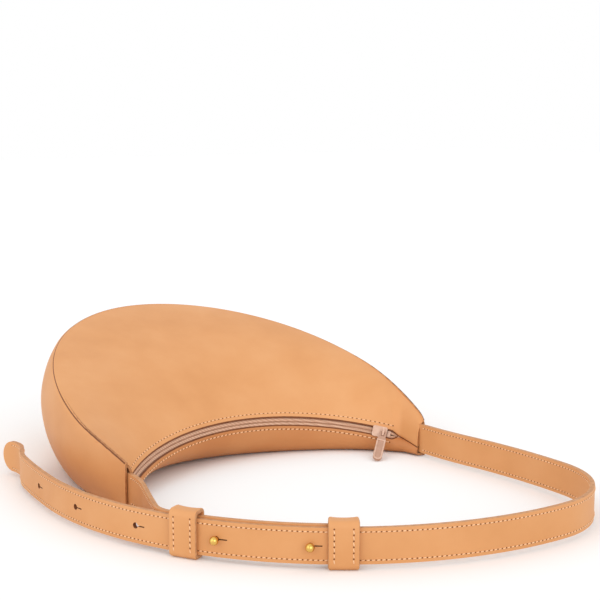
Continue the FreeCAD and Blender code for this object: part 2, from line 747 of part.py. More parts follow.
neck_length = size("strap_space") + 2 * ply + size("stud_stand")
ball_rise = math.sqrt(size("stud_ball") ** 2 - size("stud_neck") ** 2) / 2
for number, frame in enumerate(studs, start=1):
    stud_neck = doc.addObject("Part::Cylinder", "stud_neck_%d" % number)
    bind(stud_neck, "Radius", "[stud_neck] / 2")
    bind(stud_neck, "Height", "[strap_space] + 2 * [strap_ply] + [stud_stand] + [stud_ball] / 2")
    stud_neck.Placement = frame
    ball = doc.addObject("Part::Sphere", "stud_ball_%d" % number)
    bind(ball, "Radius", "[stud_ball] / 2")
    ball.Placement = frame.multiply(Placement(Vector(0, 0, neck_length + ball_rise), Rotation()))
    whole = doc.addObject("Part::MultiFuse", "stud_whole_%d" % number)
    whole.Shapes = [stud_neck, ball]
    thread = doc.addObject("Part::Cylinder", "stud_thread_%d" % number)
    bind(thread, "Radius", "[screw_shank] / 2")
    bind(thread, "Height", "[screw_reach] + [screw_room]")
    thread.Placement = frame
    keep(cut(whole, [thread], "stud_cut_%d" % number), "stud_%d" % number)

    behind = Placement(Vector(0, 0, -2 * ply), Rotation())
    shank = doc.addObject("Part::Cylinder", "screw_shank_%d" % number)
    bind(shank, "Radius", "[screw_shank] / 2")
    bind(shank, "Height", "2 * [strap_ply] + [screw_reach]")
    shank.Placement = frame.multiply(behind)
    seat = Placement(Vector(0, 0, -2 * ply - size("screw_head_thick") - size("screw_room")), Rotation())
    head = doc.addObject("Part::Cylinder", "screw_head_%d" % number)
    bind(head, "Radius", "[screw_head] / 2")
    bind(head, "Height", "[screw_head_thick]")
    head.Placement = frame.multiply(seat)
    collar = doc.addObject("Part::Cylinder", "screw_collar_%d" % number)
    bind(collar, "Radius", "[screw_shank] / 2")
    bind(collar, "Height", "[screw_head_thick]")
    inside_head = Vector(0, 0, -2 * ply - size("screw_head_thick") / 2)
    collar.Placement = frame.multiply(Placement(inside_head, Rotation()))
    screw = doc.addObject("Part::MultiFuse", "screw_whole_%d" % number)
    screw.Shapes = [shank, head, collar]
    slot = doc.addObject("Part::Box", "screw_slot_%d" % number)
    bind(slot, "Length", "2 * [screw_head]")
    bind(slot, "Width", "[screw_shank] / 2")
    bind(slot, "Height", "[screw_head_thick]")
    slot.Placement = frame.multiply(seat).multiply(Placement(
        Vector(-size("screw_head"), -size("screw_shank") / 4, -size("screw_head_thick") / 2), Rotation()
    ))
    keep(cut(screw, [slot], "screw_cut_%d" % number), "stud_screw_%d" % number)


# Keepers: leather loops round both straps, turned about the lap's centre so that they follow the bend
def bound_rectangle(sketch, left, right, low, high):
    # Each side is a value with its formula; two corners are measured from the origin
    corners = [
        Vector(left[0], low[0], 0), Vector(right[0], low[0], 0),
        Vector(right[0], high[0], 0), Vector(left[0], high[0], 0),
    ]
    first = sketch.GeometryCount
    add_polygon(sketch, corners)
    for i in range(4):
        sketch.addConstraint(Sketcher.Constraint("Coincident", first + i, 2, first + (i + 1) % 4, 1))
        sketch.addConstraint(Sketcher.Constraint(("Horizontal", "Vertical")[i % 2], first + i))
    for kind, edge, (value, formula) in (
        ("DistanceX", first, left), ("DistanceY", first, low),
        ("DistanceX", first + 2, right), ("DistanceY", first + 2, high),
    ):
        index = sketch.addConstraint(Sketcher.Constraint(kind, -1, 1, edge, 1, value))
        bind(sketch, "Constraints[%d]" % index, formula)


def keeper_section(sketch):
    room, wall, radius = size("keeper_room"), size("keeper_wall"), size("lap_radius")
    deep = 3 * ply + size("strap_space")
    stack = "3 * [strap_ply] + [strap_space] + [keeper_room]"
    bound_rectangle(
        sketch,
        (radius - deep - room - wall, "[lap_radius] - (" + stack + ") - [keeper_wall]"),
        (radius + ply + room + wall, "[lap_radius] + [strap_ply] + [keeper_room] + [keeper_wall]"),
        (0, "0"),
        (size("strap_width") + 2 * room + 2 * wall, "[strap_width] + 2 * [keeper_room] + 2 * [keeper_wall]"),
    )
    bound_rectangle(
        sketch,
        (radius - deep - room, "[lap_radius] - (" + stack + ")"),
        (radius + ply + room, "[lap_radius] + [strap_ply] + [keeper_room]"),
        (wall, "[keeper_wall]"),
        (size("strap_width") + 2 * room + wall, "[strap_width] + 2 * [keeper_room] + [keeper_wall]"),
    )


keeper_angle = "[keeper_width] / [lap_radius] * 180 / pi"
for name, way in (("keeper_left", size("left_keeper_at")), ("keeper_right", size("right_keeper_at"))):
    turned_band(name, keeper_section, Placement(lap_centre, Rotation()), lap_polar(way), keeper_angle)

doc.recompute()
for item in doc.Objects:
    for word in item.State:
        if word in ("Invalid", "Error"):
            raise RuntimeError("%s could not be built" % item.Label)

os.makedirs("parts", exist_ok=True)
for item in nodes:
    shape = item.Shape
    if shape.isNull() or not shape.isValid() or len(shape.Solids) != 1:
        raise RuntimeError("%s is not one sound solid" % item.Label)
    shape.exportStep("parts/%s.step" % item.Label)
    print(item.Label, "volume in cubic millimetres:", round(shape.Volume, 1))
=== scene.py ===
import bpy
import bmesh
import json
import math
from functools import lru_cache
from mathutils import Matrix, Vector, noise


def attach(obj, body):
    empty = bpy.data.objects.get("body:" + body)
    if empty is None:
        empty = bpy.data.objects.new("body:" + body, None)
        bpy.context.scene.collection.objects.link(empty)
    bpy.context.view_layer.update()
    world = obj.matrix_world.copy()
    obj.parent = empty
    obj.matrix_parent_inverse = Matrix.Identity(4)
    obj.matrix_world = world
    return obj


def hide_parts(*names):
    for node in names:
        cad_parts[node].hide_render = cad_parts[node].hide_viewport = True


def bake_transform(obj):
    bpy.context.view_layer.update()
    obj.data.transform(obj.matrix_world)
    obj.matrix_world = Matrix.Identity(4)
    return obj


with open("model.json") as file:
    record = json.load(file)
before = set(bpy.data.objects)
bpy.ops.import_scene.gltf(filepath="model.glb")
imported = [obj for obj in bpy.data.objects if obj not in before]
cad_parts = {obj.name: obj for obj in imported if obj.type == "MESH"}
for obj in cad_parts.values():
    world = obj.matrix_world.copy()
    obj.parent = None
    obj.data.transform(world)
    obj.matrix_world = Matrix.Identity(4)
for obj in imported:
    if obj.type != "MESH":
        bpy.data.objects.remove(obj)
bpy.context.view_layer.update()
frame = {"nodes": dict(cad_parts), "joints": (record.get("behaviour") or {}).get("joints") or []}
mm = 0.001  # all piece dictionaries are in millimetres and degrees


# Materials

def hexColor(text):
    parts = [int(text[i:i + 2], 16) / 255 for i in (1, 3, 5)]
    linear = [c / 12.92 if c <= 0.04045 else ((c + 0.055) / 1.055) ** 2.4 for c in parts]
    return (*linear, 1.0)


def perMetre(sizeMm):  # texture scale that gives a feature of this size
    return 1 / (sizeMm * mm)


def addNode(tree, kind, sockets=None, **settings):
    node = tree.nodes.new(kind)
    for name, value in settings.items():
        setattr(node, name, value)
    for name, value in (sockets or {}).items():
        if isinstance(value, bpy.types.NodeSocket):
            tree.links.new(value, node.inputs[name])
        else:
            node.inputs[name].default_value = value
    return node


def startMaterial(name):
    material = bpy.data.materials.new(name)
    material.use_nodes = True
    tree = material.node_tree
    return material, tree, tree.nodes["Principled BSDF"]


def setRamp(node, stops):
    ramp = node.color_ramp
    while len(ramp.elements) < len(stops):
        ramp.elements.new(0.5)
    for element, (place, color) in zip(ramp.elements, stops):
        element.position = place
        element.color = hexColor(color)


leatherLook = {
    "cloud": 75.0, "blotch": 22.0, "blotchShare": 0.3,  # soft tanning clouds with smaller blotches in them
    "pore": 1.5, "poreDepth": 0.12, "poreBump": 0.1,  # drawn coarser than real pores so that they show
    "crease": 5.0, "creaseDepth": 0.2, "creaseBump": 0.16,
    "smooth": 0.44, "rough": 0.6,  # roughness goes between these with the creases
    "specular": 0.35,
}


def makeLeather(name, deep, mid, pale):
    # Natural vegetable tanned cowhide, smooth side out: cloudy tan, a waxed satin gloss and fine pores
    material, tree, shader = startMaterial(name)
    look = leatherLook
    coord = addNode(tree, "ShaderNodeTexCoord").outputs["Object"]
    cloud = addNode(tree, "ShaderNodeTexNoise", {
        "Vector": coord, "Scale": perMetre(look["cloud"]), "Detail": 2.0, "Roughness": 0.5})
    blotch = addNode(tree, "ShaderNodeTexNoise", {
        "Vector": coord, "Scale": perMetre(look["blotch"]), "Detail": 3.0, "Roughness": 0.55})
    tone = addNode(tree, "ShaderNodeMix", {
        "Factor": look["blotchShare"], "A": cloud.outputs["Fac"], "B": blotch.outputs["Fac"]})
    ramp = addNode(tree, "ShaderNodeValToRGB", {"Fac": tone.outputs["Result"]})
    setRamp(ramp, [(0.3, deep), (0.5, mid), (0.7, pale)])
    tree.links.new(ramp.outputs["Color"], shader.inputs["Base Color"])
    pore = addNode(tree, "ShaderNodeTexVoronoi", {"Vector": coord, "Scale": perMetre(look["pore"])})
    crease = addNode(tree, "ShaderNodeTexNoise", {
        "Vector": coord, "Scale": perMetre(look["crease"]), "Detail": 5.0, "Roughness": 0.65})
    poreBump = addNode(tree, "ShaderNodeBump", {
        "Strength": look["poreBump"], "Distance": look["poreDepth"] * mm, "Height": pore.outputs["Distance"]})
    creaseBump = addNode(tree, "ShaderNodeBump", {
        "Strength": look["creaseBump"], "Distance": look["creaseDepth"] * mm,
        "Height": crease.outputs["Fac"], "Normal": poreBump.outputs["Normal"]})
    tree.links.new(creaseBump.outputs["Normal"], shader.inputs["Normal"])
    gloss = addNode(tree, "ShaderNodeMapRange", {
        "Value": crease.outputs["Fac"], "To Min": look["smooth"], "To Max": look["rough"]})
    tree.links.new(gloss.outputs["Result"], shader.inputs["Roughness"])
    shader.inputs["Specular IOR Level"].default_value = look["specular"]
    return material


def makeMottled(name, dark, pale, spot, detail, roughness, metallic=0.0, bump=0.0, depth=0.0):
    material, tree, shader = startMaterial(name)  # two tones that run into each other in small spots
    coord = addNode(tree, "ShaderNodeTexCoord").outputs["Object"]
    tone = addNode(tree, "ShaderNodeTexNoise", {"Vector": coord, "Scale": perMetre(spot), "Detail": detail})
    ramp = addNode(tree, "ShaderNodeValToRGB", {"Fac": tone.outputs["Fac"]})
    setRamp(ramp, [(0.3, dark), (0.7, pale)])
    tree.links.new(ramp.outputs["Color"], shader.inputs["Base Color"])
    if bump:
        relief = addNode(tree, "ShaderNodeBump", {
            "Strength": bump, "Distance": depth * mm, "Height": tone.outputs["Fac"]})
        tree.links.new(relief.outputs["Normal"], shader.inputs["Normal"])
    shader.inputs["Metallic"].default_value = metallic
    shader.inputs["Roughness"].default_value = roughness
    return material


tapeLook = {
    "wave": 6.0,  # gives ribs 2 to 3 mm apart, coarser than the real weave so that they show
    "waver": 1.5, "bump": 0.3, "depth": 0.15, "roughness": 0.75, "sheen": 0.2,
}


def makeTape():
    # Woven polyester zip tape: rose beige with slanting ribs that catch the light
    material, tree, shader = startMaterial("wovenZipTape")
    coord = addNode(tree, "ShaderNodeTexCoord").outputs["Object"]
    weave = addNode(tree, "ShaderNodeTexWave", bands_direction="DIAGONAL", sockets={
        "Vector": coord, "Scale": perMetre(tapeLook["wave"]), "Distortion": tapeLook["waver"], "Detail": 2.0})
    ramp = addNode(tree, "ShaderNodeValToRGB", {"Fac": weave.outputs["Fac"]})
    setRamp(ramp, [(0.1, "#d2a182"), (0.9, "#e6bb9c")])
    tree.links.new(ramp.outputs["Color"], shader.inputs["Base Color"])
    relief = addNode(tree, "ShaderNodeBump", {
        "Strength": tapeLook["bump"], "Distance": tapeLook["depth"] * mm, "Height": weave.outputs["Fac"]})
    tree.links.new(relief.outputs["Normal"], shader.inputs["Normal"])
    shader.inputs["Roughness"].default_value = tapeLook["roughness"]
    shader.inputs["Sheen Weight"].default_value = tapeLook["sheen"]
    return material


brassLook = {"color": "#dfb661", "haze": 1.2, "smooth": 0.14, "rough": 0.26}


def makeBrass():
    # Turned and polished brass: a warm yellow mirror with a faint uneven haze
    material, tree, shader = startMaterial("polishedBrass")
    coord = addNode(tree, "ShaderNodeTexCoord").outputs["Object"]
    haze = addNode(tree, "ShaderNodeTexNoise", {
        "Vector": coord, "Scale": perMetre(brassLook["haze"]), "Detail": 3.0})
    gloss = addNode(tree, "ShaderNodeMapRange", {
        "Value": haze.outputs["Fac"], "To Min": brassLook["smooth"], "To Max": brassLook["rough"]})
    tree.links.new(gloss.outputs["Result"], shader.inputs["Roughness"])
    shader.inputs["Base Color"].default_value = hexColor(brassLook["color"])
    shader.inputs["Metallic"].default_value = 1.0
    return material


leather = makeLeather("vegTanLeather", "#d5945b", "#dc9c64", "#e1a46e")
paintedShadeBackLeather = makeLeather("vegTanLeatherPaintedShade", "#be7945", "#c6824d", "#cc8b56")  # darker: painted shade for the hollow wall, which faces down under the belly

# Cut leather edges, burnished with wax or left raw in the seams: darker and a little uneven along the cut.
# The raw seam edge colour is darker still, as painted shade of the seam grooves and of the gaps at the zip.
edgeLook = {"spot": 3.0, "detail": 4.0, "roughness": 0.6, "bump": 0.3, "depth": 0.2}
panelEdge = makeMottled("burnishedPanelEdge", "#a0663a", "#bd8455", **edgeLook)
seamEdgeAndShade = makeMottled("rawSeamEdgeAndGrooveShade", "#6a3410", "#884c20", **edgeLook)
strapEdge = makeMottled("waxedStrapEdge", "#b87f52", "#d29b6b", **edgeLook)

# Painted shade for holes: the walls of the keyholes and the discs of the needle holes are dark and matt,
# mottled like loose fibres, to stand for the shade inside a hole
holeShadeLook = {"spot": 0.8, "detail": 3.0, "roughness": 0.9}
paintedHoleShade = makeMottled("punchedHolePaintedShade", "#6b3a1b", "#8f552e", **holeShadeLook)

# Waxed polyester thread: pale tan with a soft gloss
threadLook = {"spot": 2.0, "detail": 2.0, "roughness": 0.5}
thread = makeMottled("waxedThread", "#eeb98a", "#f6cfa2", **threadLook)

# Nylon coil of the zip: dyed beige, semi gloss
coilLook = {"spot": 6.0, "detail": 2.0, "roughness": 0.4}
coil = makeMottled("nylonCoil", "#a67457", "#bd8a6b", **coilLook)

# Die cast zinc with a rose beige enamel: satin. The pull itself takes a darker copy, painted shade for its
# recess, while its raised rim keeps the lighter one
zincLook = {"spot": 4.0, "detail": 3.0, "roughness": 0.34, "metallic": 0.2, "bump": 0.1, "depth": 0.1}
sliderMetal = makeMottled("enamelledZinc", "#d3ab93", "#e0bca6", **zincLook)
shadedPullMetal = makeMottled("enamelledZincPaintedShade", "#bb9078", "#c79d86", **zincLook)

tape = makeTape()
brass = makeBrass()
print("materials made")


# Pieces: every mesh is made in millimetres in the part's frame and scaled to metres at the end

def finishPiece(name, bm, materials, body=None, replaces=()):
    bmesh.ops.scale(bm, vec=(mm, mm, mm), verts=bm.verts)
    for face in bm.faces:
        face.smooth = True
    mesh = bpy.data.meshes.new(name)
    bm.to_mesh(mesh)
    bm.free()
    for material in materials:
        mesh.materials.append(material)
    piece = bpy.data.objects.new(name, mesh)
    bpy.context.scene.collection.objects.link(piece)
    if body:
        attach(piece, body)
    if replaces:
        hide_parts(*replaces)
    return piece


def thicken(piece, thickness, offset, rimMaterial=1, even=False):
    shell = piece.modifiers.new("thickness", "SOLIDIFY")
    shell.thickness = thickness * mm
    shell.offset = offset
    shell.use_even_offset = even
    shell.material_offset_rim = rimMaterial


def roundEdges(piece, rounding):
    soft = piece.modifiers.new("rounded", "BEVEL")
    soft.width = rounding * mm
    soft.segments = 2
    soft.limit_method = "ANGLE"
    soft.angle_limit = math.radians(50)
    soft.harden_normals = True


def stamp(bm, template, matrix):  # add one copy of a small mesh
    copy = template.copy()
    copy.transform(matrix)
    bm.from_mesh(copy)
    bpy.data.meshes.remove(copy)


def keepTemplate(bm, name):
    mesh = bpy.data.meshes.new(name)
    bm.to_mesh(mesh)
    bm.free()
    return mesh


def basisMatrix(place, x, y, z):
    return Matrix.Translation(place) @ Matrix((x, y, z)).transposed().to_4x4()


def ringEdges(bm, points):
    verts = [bm.verts.new(p) for p in points]
    return [bm.edges.new((a, b)) for a, b in zip(verts, verts[1:] + verts[:1])]


def onlyVerts(geometry):
    return [g for g in geometry if isinstance(g, bmesh.types.BMVert)]


def sind(angle):
    return math.sin(math.radians(angle))


def cosd(angle):
    return math.cos(math.radians(angle))


def turned(angle, length):
    return Vector((cosd(angle) * length, sind(angle) * length, 0))


def smoothStep(value):
    value = min(1.0, max(0.0, value))
    return value * value * (3 - 2 * value)


def ease(value, start, over):  # 0 up to start, 1 from start + over
    return smoothStep((value - start) / over)


# Bag body: three leather panels lofted through upright sections from tip to tip

bag = {
    "tipHalfSpan": 141.0, "tipWidth": 10.0, "tipHeight": 36.0,
    "depth": 228.0, "height": 111.0, "heightPower": 0.9,
    "roundCentre": 42.0, "innerRise": 72.0, "tipY": -150.0,
    "gussetBulge": 24.0, "gussetPeak": 0.44, "leastBulge": 0.2,
    "seamFlare": 16.0, "frontCrown": 11.0, "tipCrown": 5.5,
    "leather": 1.8, "edgeRound": 0.4, "seamSpread": 0.46,
    "seamRoll": 3.0, "seamSink": 2.3,  # how the panels turn in at a sewn seam
    "tipFlat": 0.6,  # the seams are shallower by this share at the tips
    "pinchFrom": 0.9, "pinchIn": 1.2,  # the tips close round the straps
    "pinchFlat": 0.65,  # and the closed seam rolls in less there
    "rightSag": 4.0, "lean": 2.4,  # the right tip hangs, and the stuffing leans to the right
    "leftRise": 2.0,  # the left tip stands up
    "tipRound": 2.6, "tipRoundFrom": 0.972,  # the right tip's upper corner
    "slim": 4.0,  # the left of the gusset bulges less
    "gussetTuck": 4.5, "gussetLift": 1.5,  # and its foot stands a little off the ground
    "tipGround": 0.1,  # but not at the tip itself
}
wall = {
    "share": 0.45,  # part of the back panel's rows that lie in the hollow wall
    "rollFrom": 0.5, "rollOver": 1.2,  # the stuffed belly rolls under the hollow, more to the left
    "lift": 1.0, "roll": 11.0, "mostLift": 0.7, "liftTips": 0.15,
    "foot": 17.0, "rollTouch": 31.0, "mostTouch": 0.7,  # where the panel comes to lie on the ground
    "inward": 3.0, "bellyAt": 0.5, "underOut": 1.0, "underIn": 0.5, "underUp": 0.6,
    "flat": 0.5,  # part of the rows behind the wall that lie flat
    "tipClear": 0.9,  # the panel leaves the ground at the tips
}
spans = {  # where a change starts and how far it runs, from 0 in the middle of the bag to 1 at a tip
    "rightSag": (0.75, 0.25), "leftRise": (0.8, 0.15), "slim": (0.4, 0.25), "tipFlat": (0.65, 0.25),
    "offGround": (0.1, 0.4),
}
zipper = {
    "apex": 78.0, "tipHeight": 8.0, "tilt": 15.6, "leftAngle": 45.0, "rightAngle": 47.0,
    "endRoom": 1.2, "fade": 2.6,  # past its ends the opening closes
    "faceTilt": 38.0, "coilWidth": 2.4, "coilSlot": 1.4,
    "tapeWidth": 7.0, "tapeThick": 0.5, "tapeRoom": 0.3, "frontLean": 26.0, "backLean": -115.0,
    "edgeCover": 0.3,  # tape left showing beside the coil
}

innerHalf = bag["tipHalfSpan"] - bag["tipWidth"]
innerRadius = (innerHalf ** 2 + bag["innerRise"] ** 2) / (2 * bag["innerRise"])
innerCentreY = bag["tipY"] + bag["innerRise"] - innerRadius
innerTurn = math.asin(innerHalf / innerRadius)
roundY = bag["depth"] - bag["roundCentre"]
roundTurn = math.acos(-bag["roundCentre"] / roundY)
roundX = bag["tipHalfSpan"] / math.sin(roundTurn)
zipSlope = math.tan(math.radians(zipper["tilt"]))
zipCentre = Vector((0, innerCentreY, zipper["tipHeight"] + zipSlope * (innerCentreY - bag["tipY"])))
zipRadius = (bag["tipY"] + zipper["apex"] - innerCentreY) / cosd(zipper["tilt"])
zipFrame = Matrix.Translation(zipCentre) @ Matrix.Rotation(math.radians(zipper["tilt"]), 4, "X")
halfChain = zipper["coilSlot"] / 2 + zipper["coilWidth"]


def pastZip(angle):  # degrees past the zip's nearer end
    return angle - zipper["rightAngle"] if angle > 0 else -angle - zipper["leftAngle"]


def sectionHeight(q, share):
    height = bag["tipHeight"] + (bag["height"] - bag["tipHeight"]) * share ** bag["heightPower"]
    height -= bag["rightSag"] * ease(q, *spans["rightSag"])
    height += bag["lean"] * math.sin(math.pi * q * abs(q)) * math.sqrt(share)
    height += bag["leftRise"] * ease(-q, *spans["leftRise"])
    tipEnd = max(0.0, q - bag["tipRoundFrom"]) / (1 - bag["tipRoundFrom"])
    return height - bag["tipRound"] * (1 - math.sqrt(max(0.0, 1 - tipEnd * tipEnd)))


@lru_cache(maxsize=None)
def station(q):  # one upright section; q runs from -1 at the left tip to 1 at the right tip
    s = {"q": q}
    turn, angle = q * innerTurn, q * roundTurn
    foot = Vector((innerRadius * math.sin(turn), innerCentreY + innerRadius * math.cos(turn), 0))
    outerY = bag["tipY"] + bag["roundCentre"] + roundY * math.cos(angle)
    outer = Vector((roundX * math.sin(angle), outerY, 0))
    s["foot"], s["width"] = foot, (outer - foot).length
    s["along"] = (outer - foot).normalized()
    share = max(0.0, (outer.y - bag["tipY"]) / bag["depth"])
    s["height"] = sectionHeight(q, share)
    bulge = bag["gussetBulge"] * math.sqrt(share) - bag["slim"] * ease(-q, *spans["slim"])
    s["bulge"] = max(bag["leastBulge"], bulge)
    s["flare"] = bag["seamFlare"] * share
    s["crown"] = bag["frontCrown"] * share + bag["tipCrown"] * (1 - share)
    s["pinch"] = ease(abs(q), bag["pinchFrom"], 1 - bag["pinchFrom"])
    s["shift"] = bag["pinchIn"] * s["pinch"]
    s["sewn"] = 1 - bag["tipFlat"] * ease(abs(q), *spans["tipFlat"])
    s["rolled"] = smoothStep((wall["rollFrom"] - q) / wall["rollOver"])
    s["offGround"] = ease(-q, *spans["offGround"]) * ease(1 + q, 0.0, bag["tipGround"])
    stretch = cosd(zipper["tilt"])  # where the section meets the zip's circle, seen from above
    start = Vector((foot.x, (foot.y - zipCentre.y) / stretch))
    step = Vector((s["along"].x, s["along"].y / stretch))
    a, b, c = step.dot(step), start.dot(step), start.dot(start) - zipRadius ** 2
    reach = (-b + math.sqrt(b * b - a * c)) / a
    s["zipR"] = min(reach, bag["leather"] / 2 + bag["seamSpread"] * (s["width"] - bag["tipWidth"]))
    place = foot + s["along"] * s["zipR"]
    s["zipZ"] = zipper["tipHeight"] + zipSlope * (place.y - bag["tipY"])
    s["pastZip"] = pastZip(math.degrees(math.atan2(place.x, (place.y - zipCentre.y) / stretch)))
    s["open"] = 1 - ease(s["pastZip"], zipper["endRoom"], zipper["fade"])
    return s


def leatherEdge(side, lean):  # offset of the leather's outer face from the zip's centre
    face = 90 - zipper["faceTilt"] + zipper["tilt"] + (0 if side > 0 else 180)
    tapeWay = lean + zipper["tilt"]
    root = turned(face, halfChain) + turned(tapeWay, zipper["edgeCover"])
    away = zipper["tapeThick"] / 2 + zipper["tapeRoom"] + bag["leather"]
    return (root + turned(tapeWay + side * 90, away)).to_2d()


frontEdge = leatherEdge(1, zipper["frontLean"])
backEdge = leatherEdge(-1, zipper["backLean"])


def arcPoint(a, m, b, t):  # point on the circle through a, m and b, in the plane of a section
    d = 2 * (a.x * (m.y - b.y) + m.x * (b.y - a.y) + b.x * (a.y - m.y))
    if abs(d) < 1e-6:
        return a.lerp(b, t)
    sums = [p.x * p.x + p.y * p.y for p in (a, m, b)]
    centre = Vector((
        (sums[0] * (m.y - b.y) + sums[1] * (b.y - a.y) + sums[2] * (a.y - m.y)) / d,
        (sums[0] * (b.x - m.x) + sums[1] * (a.x - b.x) + sums[2] * (m.x - a.x)) / d))
    start = math.atan2(a.y - centre.y, a.x - centre.x)
    sweep = (math.atan2(b.y - centre.y, b.x - centre.x) - start) % (2 * math.pi)
    middle = (math.atan2(m.y - centre.y, m.x - centre.x) - start) % (2 * math.pi)
    if middle > sweep:
        sweep -= 2 * math.pi
    radius = (a - centre).length
    return centre + Vector((math.cos(start + sweep * t), math.sin(start + sweep * t))) * radius


def cubicPoint(a, b, c, d, t):
    k = 1 - t
    return a * k ** 3 + b * 3 * k * k * t + c * 3 * k * t * t + d * t ** 3


def bowed(a, b, rise):
    way = b - a
    return (a + b) / 2 + Vector((-way.y, way.x)).normalized() * rise


def seamPoints(s):  # the two sewn lines of a section: top and bottom of the gusset
    bottom = Vector((s["width"] - bag["gussetTuck"] * s["offGround"], bag["gussetLift"] * s["offGround"]))
    return Vector((s["width"] + s["flare"], s["height"])), bottom


def zipEdge(s, offset):  # where a panel ends at the zip, or at the closed seam past it
    return Vector((s["zipR"] + s["shift"], s["zipZ"])) + offset * s["open"]


topSew, bottomSew = Vector((-0.75, -0.65)), Vector((-0.6, 0.5))  # the ways in to the sewn lines
frontClose, backClose = Vector((0.9, 0.3)), Vector((0.9, -0.2))  # and to the closed seam past the zip


def rollIn(point, way, distance):  # turn the leather in to a sewn line
    x = 1 - min(1.0, distance / bag["seamRoll"])
    return point + way * (bag["seamSink"] * (1 - math.sqrt(max(0.0, 1 - x * x))))


def closedRoll(s):
    return (1 - s["open"]) * (1 - bag["pinchFlat"] * s["pinch"])


def frontPoint(s, t):
    top = seamPoints(s)[0]
    a = zipEdge(s, frontEdge)
    length = (top - a).length
    point = arcPoint(a, bowed(a, top, s["crown"]), top, t)
    if s["pinch"] > 0:
        corner = Vector((a.x, top.y))
        point = point.lerp(a.lerp(corner, t).lerp(corner.lerp(top, t), t), s["pinch"])
    point = rollIn(point, topSew * s["sewn"], (1 - t) * length)
    return rollIn(point, frontClose * closedRoll(s), t * length)


def gussetPoint(s, t):
    top, bottom = seamPoints(s)
    middle = Vector((s["width"] + s["flare"] / 2 + s["bulge"], s["height"] * bag["gussetPeak"]))
    point = arcPoint(bottom, middle, top, t)
    point = rollIn(point, topSew * s["sewn"], (1 - t) * s["height"])
    return rollIn(point, bottomSew * s["sewn"], t * s["height"])


def wallPoint(s, touch, u):  # from the zip down the hollow wall to where the panel touches the ground
    a = zipEdge(s, backEdge)
    lift = min(wall["lift"] + wall["roll"] * s["rolled"], wall["mostLift"] * a.y)
    lift *= ease(1 - abs(s["q"]), 0.0, wall["liftTips"])
    inward = s["shift"] + wall["inward"] * (1 - s["rolled"]) * (1 - s["pinch"])
    belly = Vector((inward, a.y - wall["bellyAt"] * (a.y - lift)))
    under = Vector((inward - wall["underOut"] + wall["underIn"] * lift, wall["underUp"] * lift))
    point = cubicPoint(a, belly, under, touch, u)
    return rollIn(point, backClose * closedRoll(s), u * a.y)


def backPoint(s, t):
    bottom = seamPoints(s)[1]
    touchIn = min(wall["foot"] + wall["rollTouch"] * s["rolled"], wall["mostTouch"] * s["width"])
    touch = Vector((touchIn + s["shift"], wall["tipClear"] * s["pinch"]))
    if t < wall["share"]:
        return wallPoint(s, touch, t / wall["share"])
    u = (t - wall["share"]) / (1 - wall["share"])
    point = touch.lerp(bottom, u)
    point.y = touch.y + (bottom.y - touch.y) * ease(u, wall["flat"], 1 - wall["flat"])
    left = (bottom - point).length / min(bag["seamRoll"], (bottom - touch).length)
    return rollIn(point, bottomSew * s["sewn"] * (1 - s["pinch"]), left * bag["seamRoll"])


def inFrame(s, point):  # from the plane of a section to the part's frame
    return s["foot"] + s["along"] * point.x + Vector((0, 0, point.y))


def bagPoint(profile, q, t):
    s = station(q)
    return inFrame(s, profile(s, t))


def bagNormal(profile, q, t, out):
    d = 0.004  # the slope is taken over this much either way
    t0, t1 = max(0.0, t - d), min(1.0, t + d)
    across = bagPoint(profile, q, t1) - bagPoint(profile, q, t0)
    along = bagPoint(profile, min(1.0, q + d), t) - bagPoint(profile, max(-1.0, q - d), t)
    return across.cross(along).normalized() * out


softness = {
    "sag": 0.7, "sagLength": 75.0, "fine": 0.4,  # a wave, and a finer one of this share on it
    "sagEdge": 0.25, "sagTip": 0.1,  # shares of a panel over which they fade out
    "pucker": 0.3, "puckerLength": 9.0, "jitter": 0.5, "jitterLength": 12.0,
    "puckerIn": 0.1, "puckerEdge": 0.015,  # shares of a section that the puckers take up
    "puckerFrom": 0.6, "puckerOver": 0.25, "puckerTip": 0.05,
}


def softShape(place, q, t):  # gentle sag of the leather, and puckers where the seam is pulled tight
    inner = ease(min(t, 1 - t), 0.0, softness["sagEdge"]) * ease(1 - abs(q), 0.0, softness["sagTip"])
    length, fine = softness["sagLength"], softness["fine"]
    sag = noise.noise(place / length) + fine * noise.noise(place / (length * fine))
    ripple = math.sin((place.x + place.y) / softness["puckerLength"] * 2 * math.pi)
    ripple += softness["jitter"] * noise.noise(place / softness["jitterLength"])
    nearSeam = 1 - ease(1 - t, 0.0, softness["puckerIn"])
    nearSeam *= ease(1 - t, 0.0, softness["puckerEdge"])
    nearTip = ease(abs(q), softness["puckerFrom"], softness["puckerOver"])
    nearTip *= ease(1 - abs(q), 0.0, softness["puckerTip"])
    return sag * softness["sag"] * inner + ripple * softness["pucker"] * nearSeam * nearTip


grid = {"columns": 168, "rows": 64, "tipCrowd": 0.25, "edgeCrowd": 0.85}  # closer at tips and edges


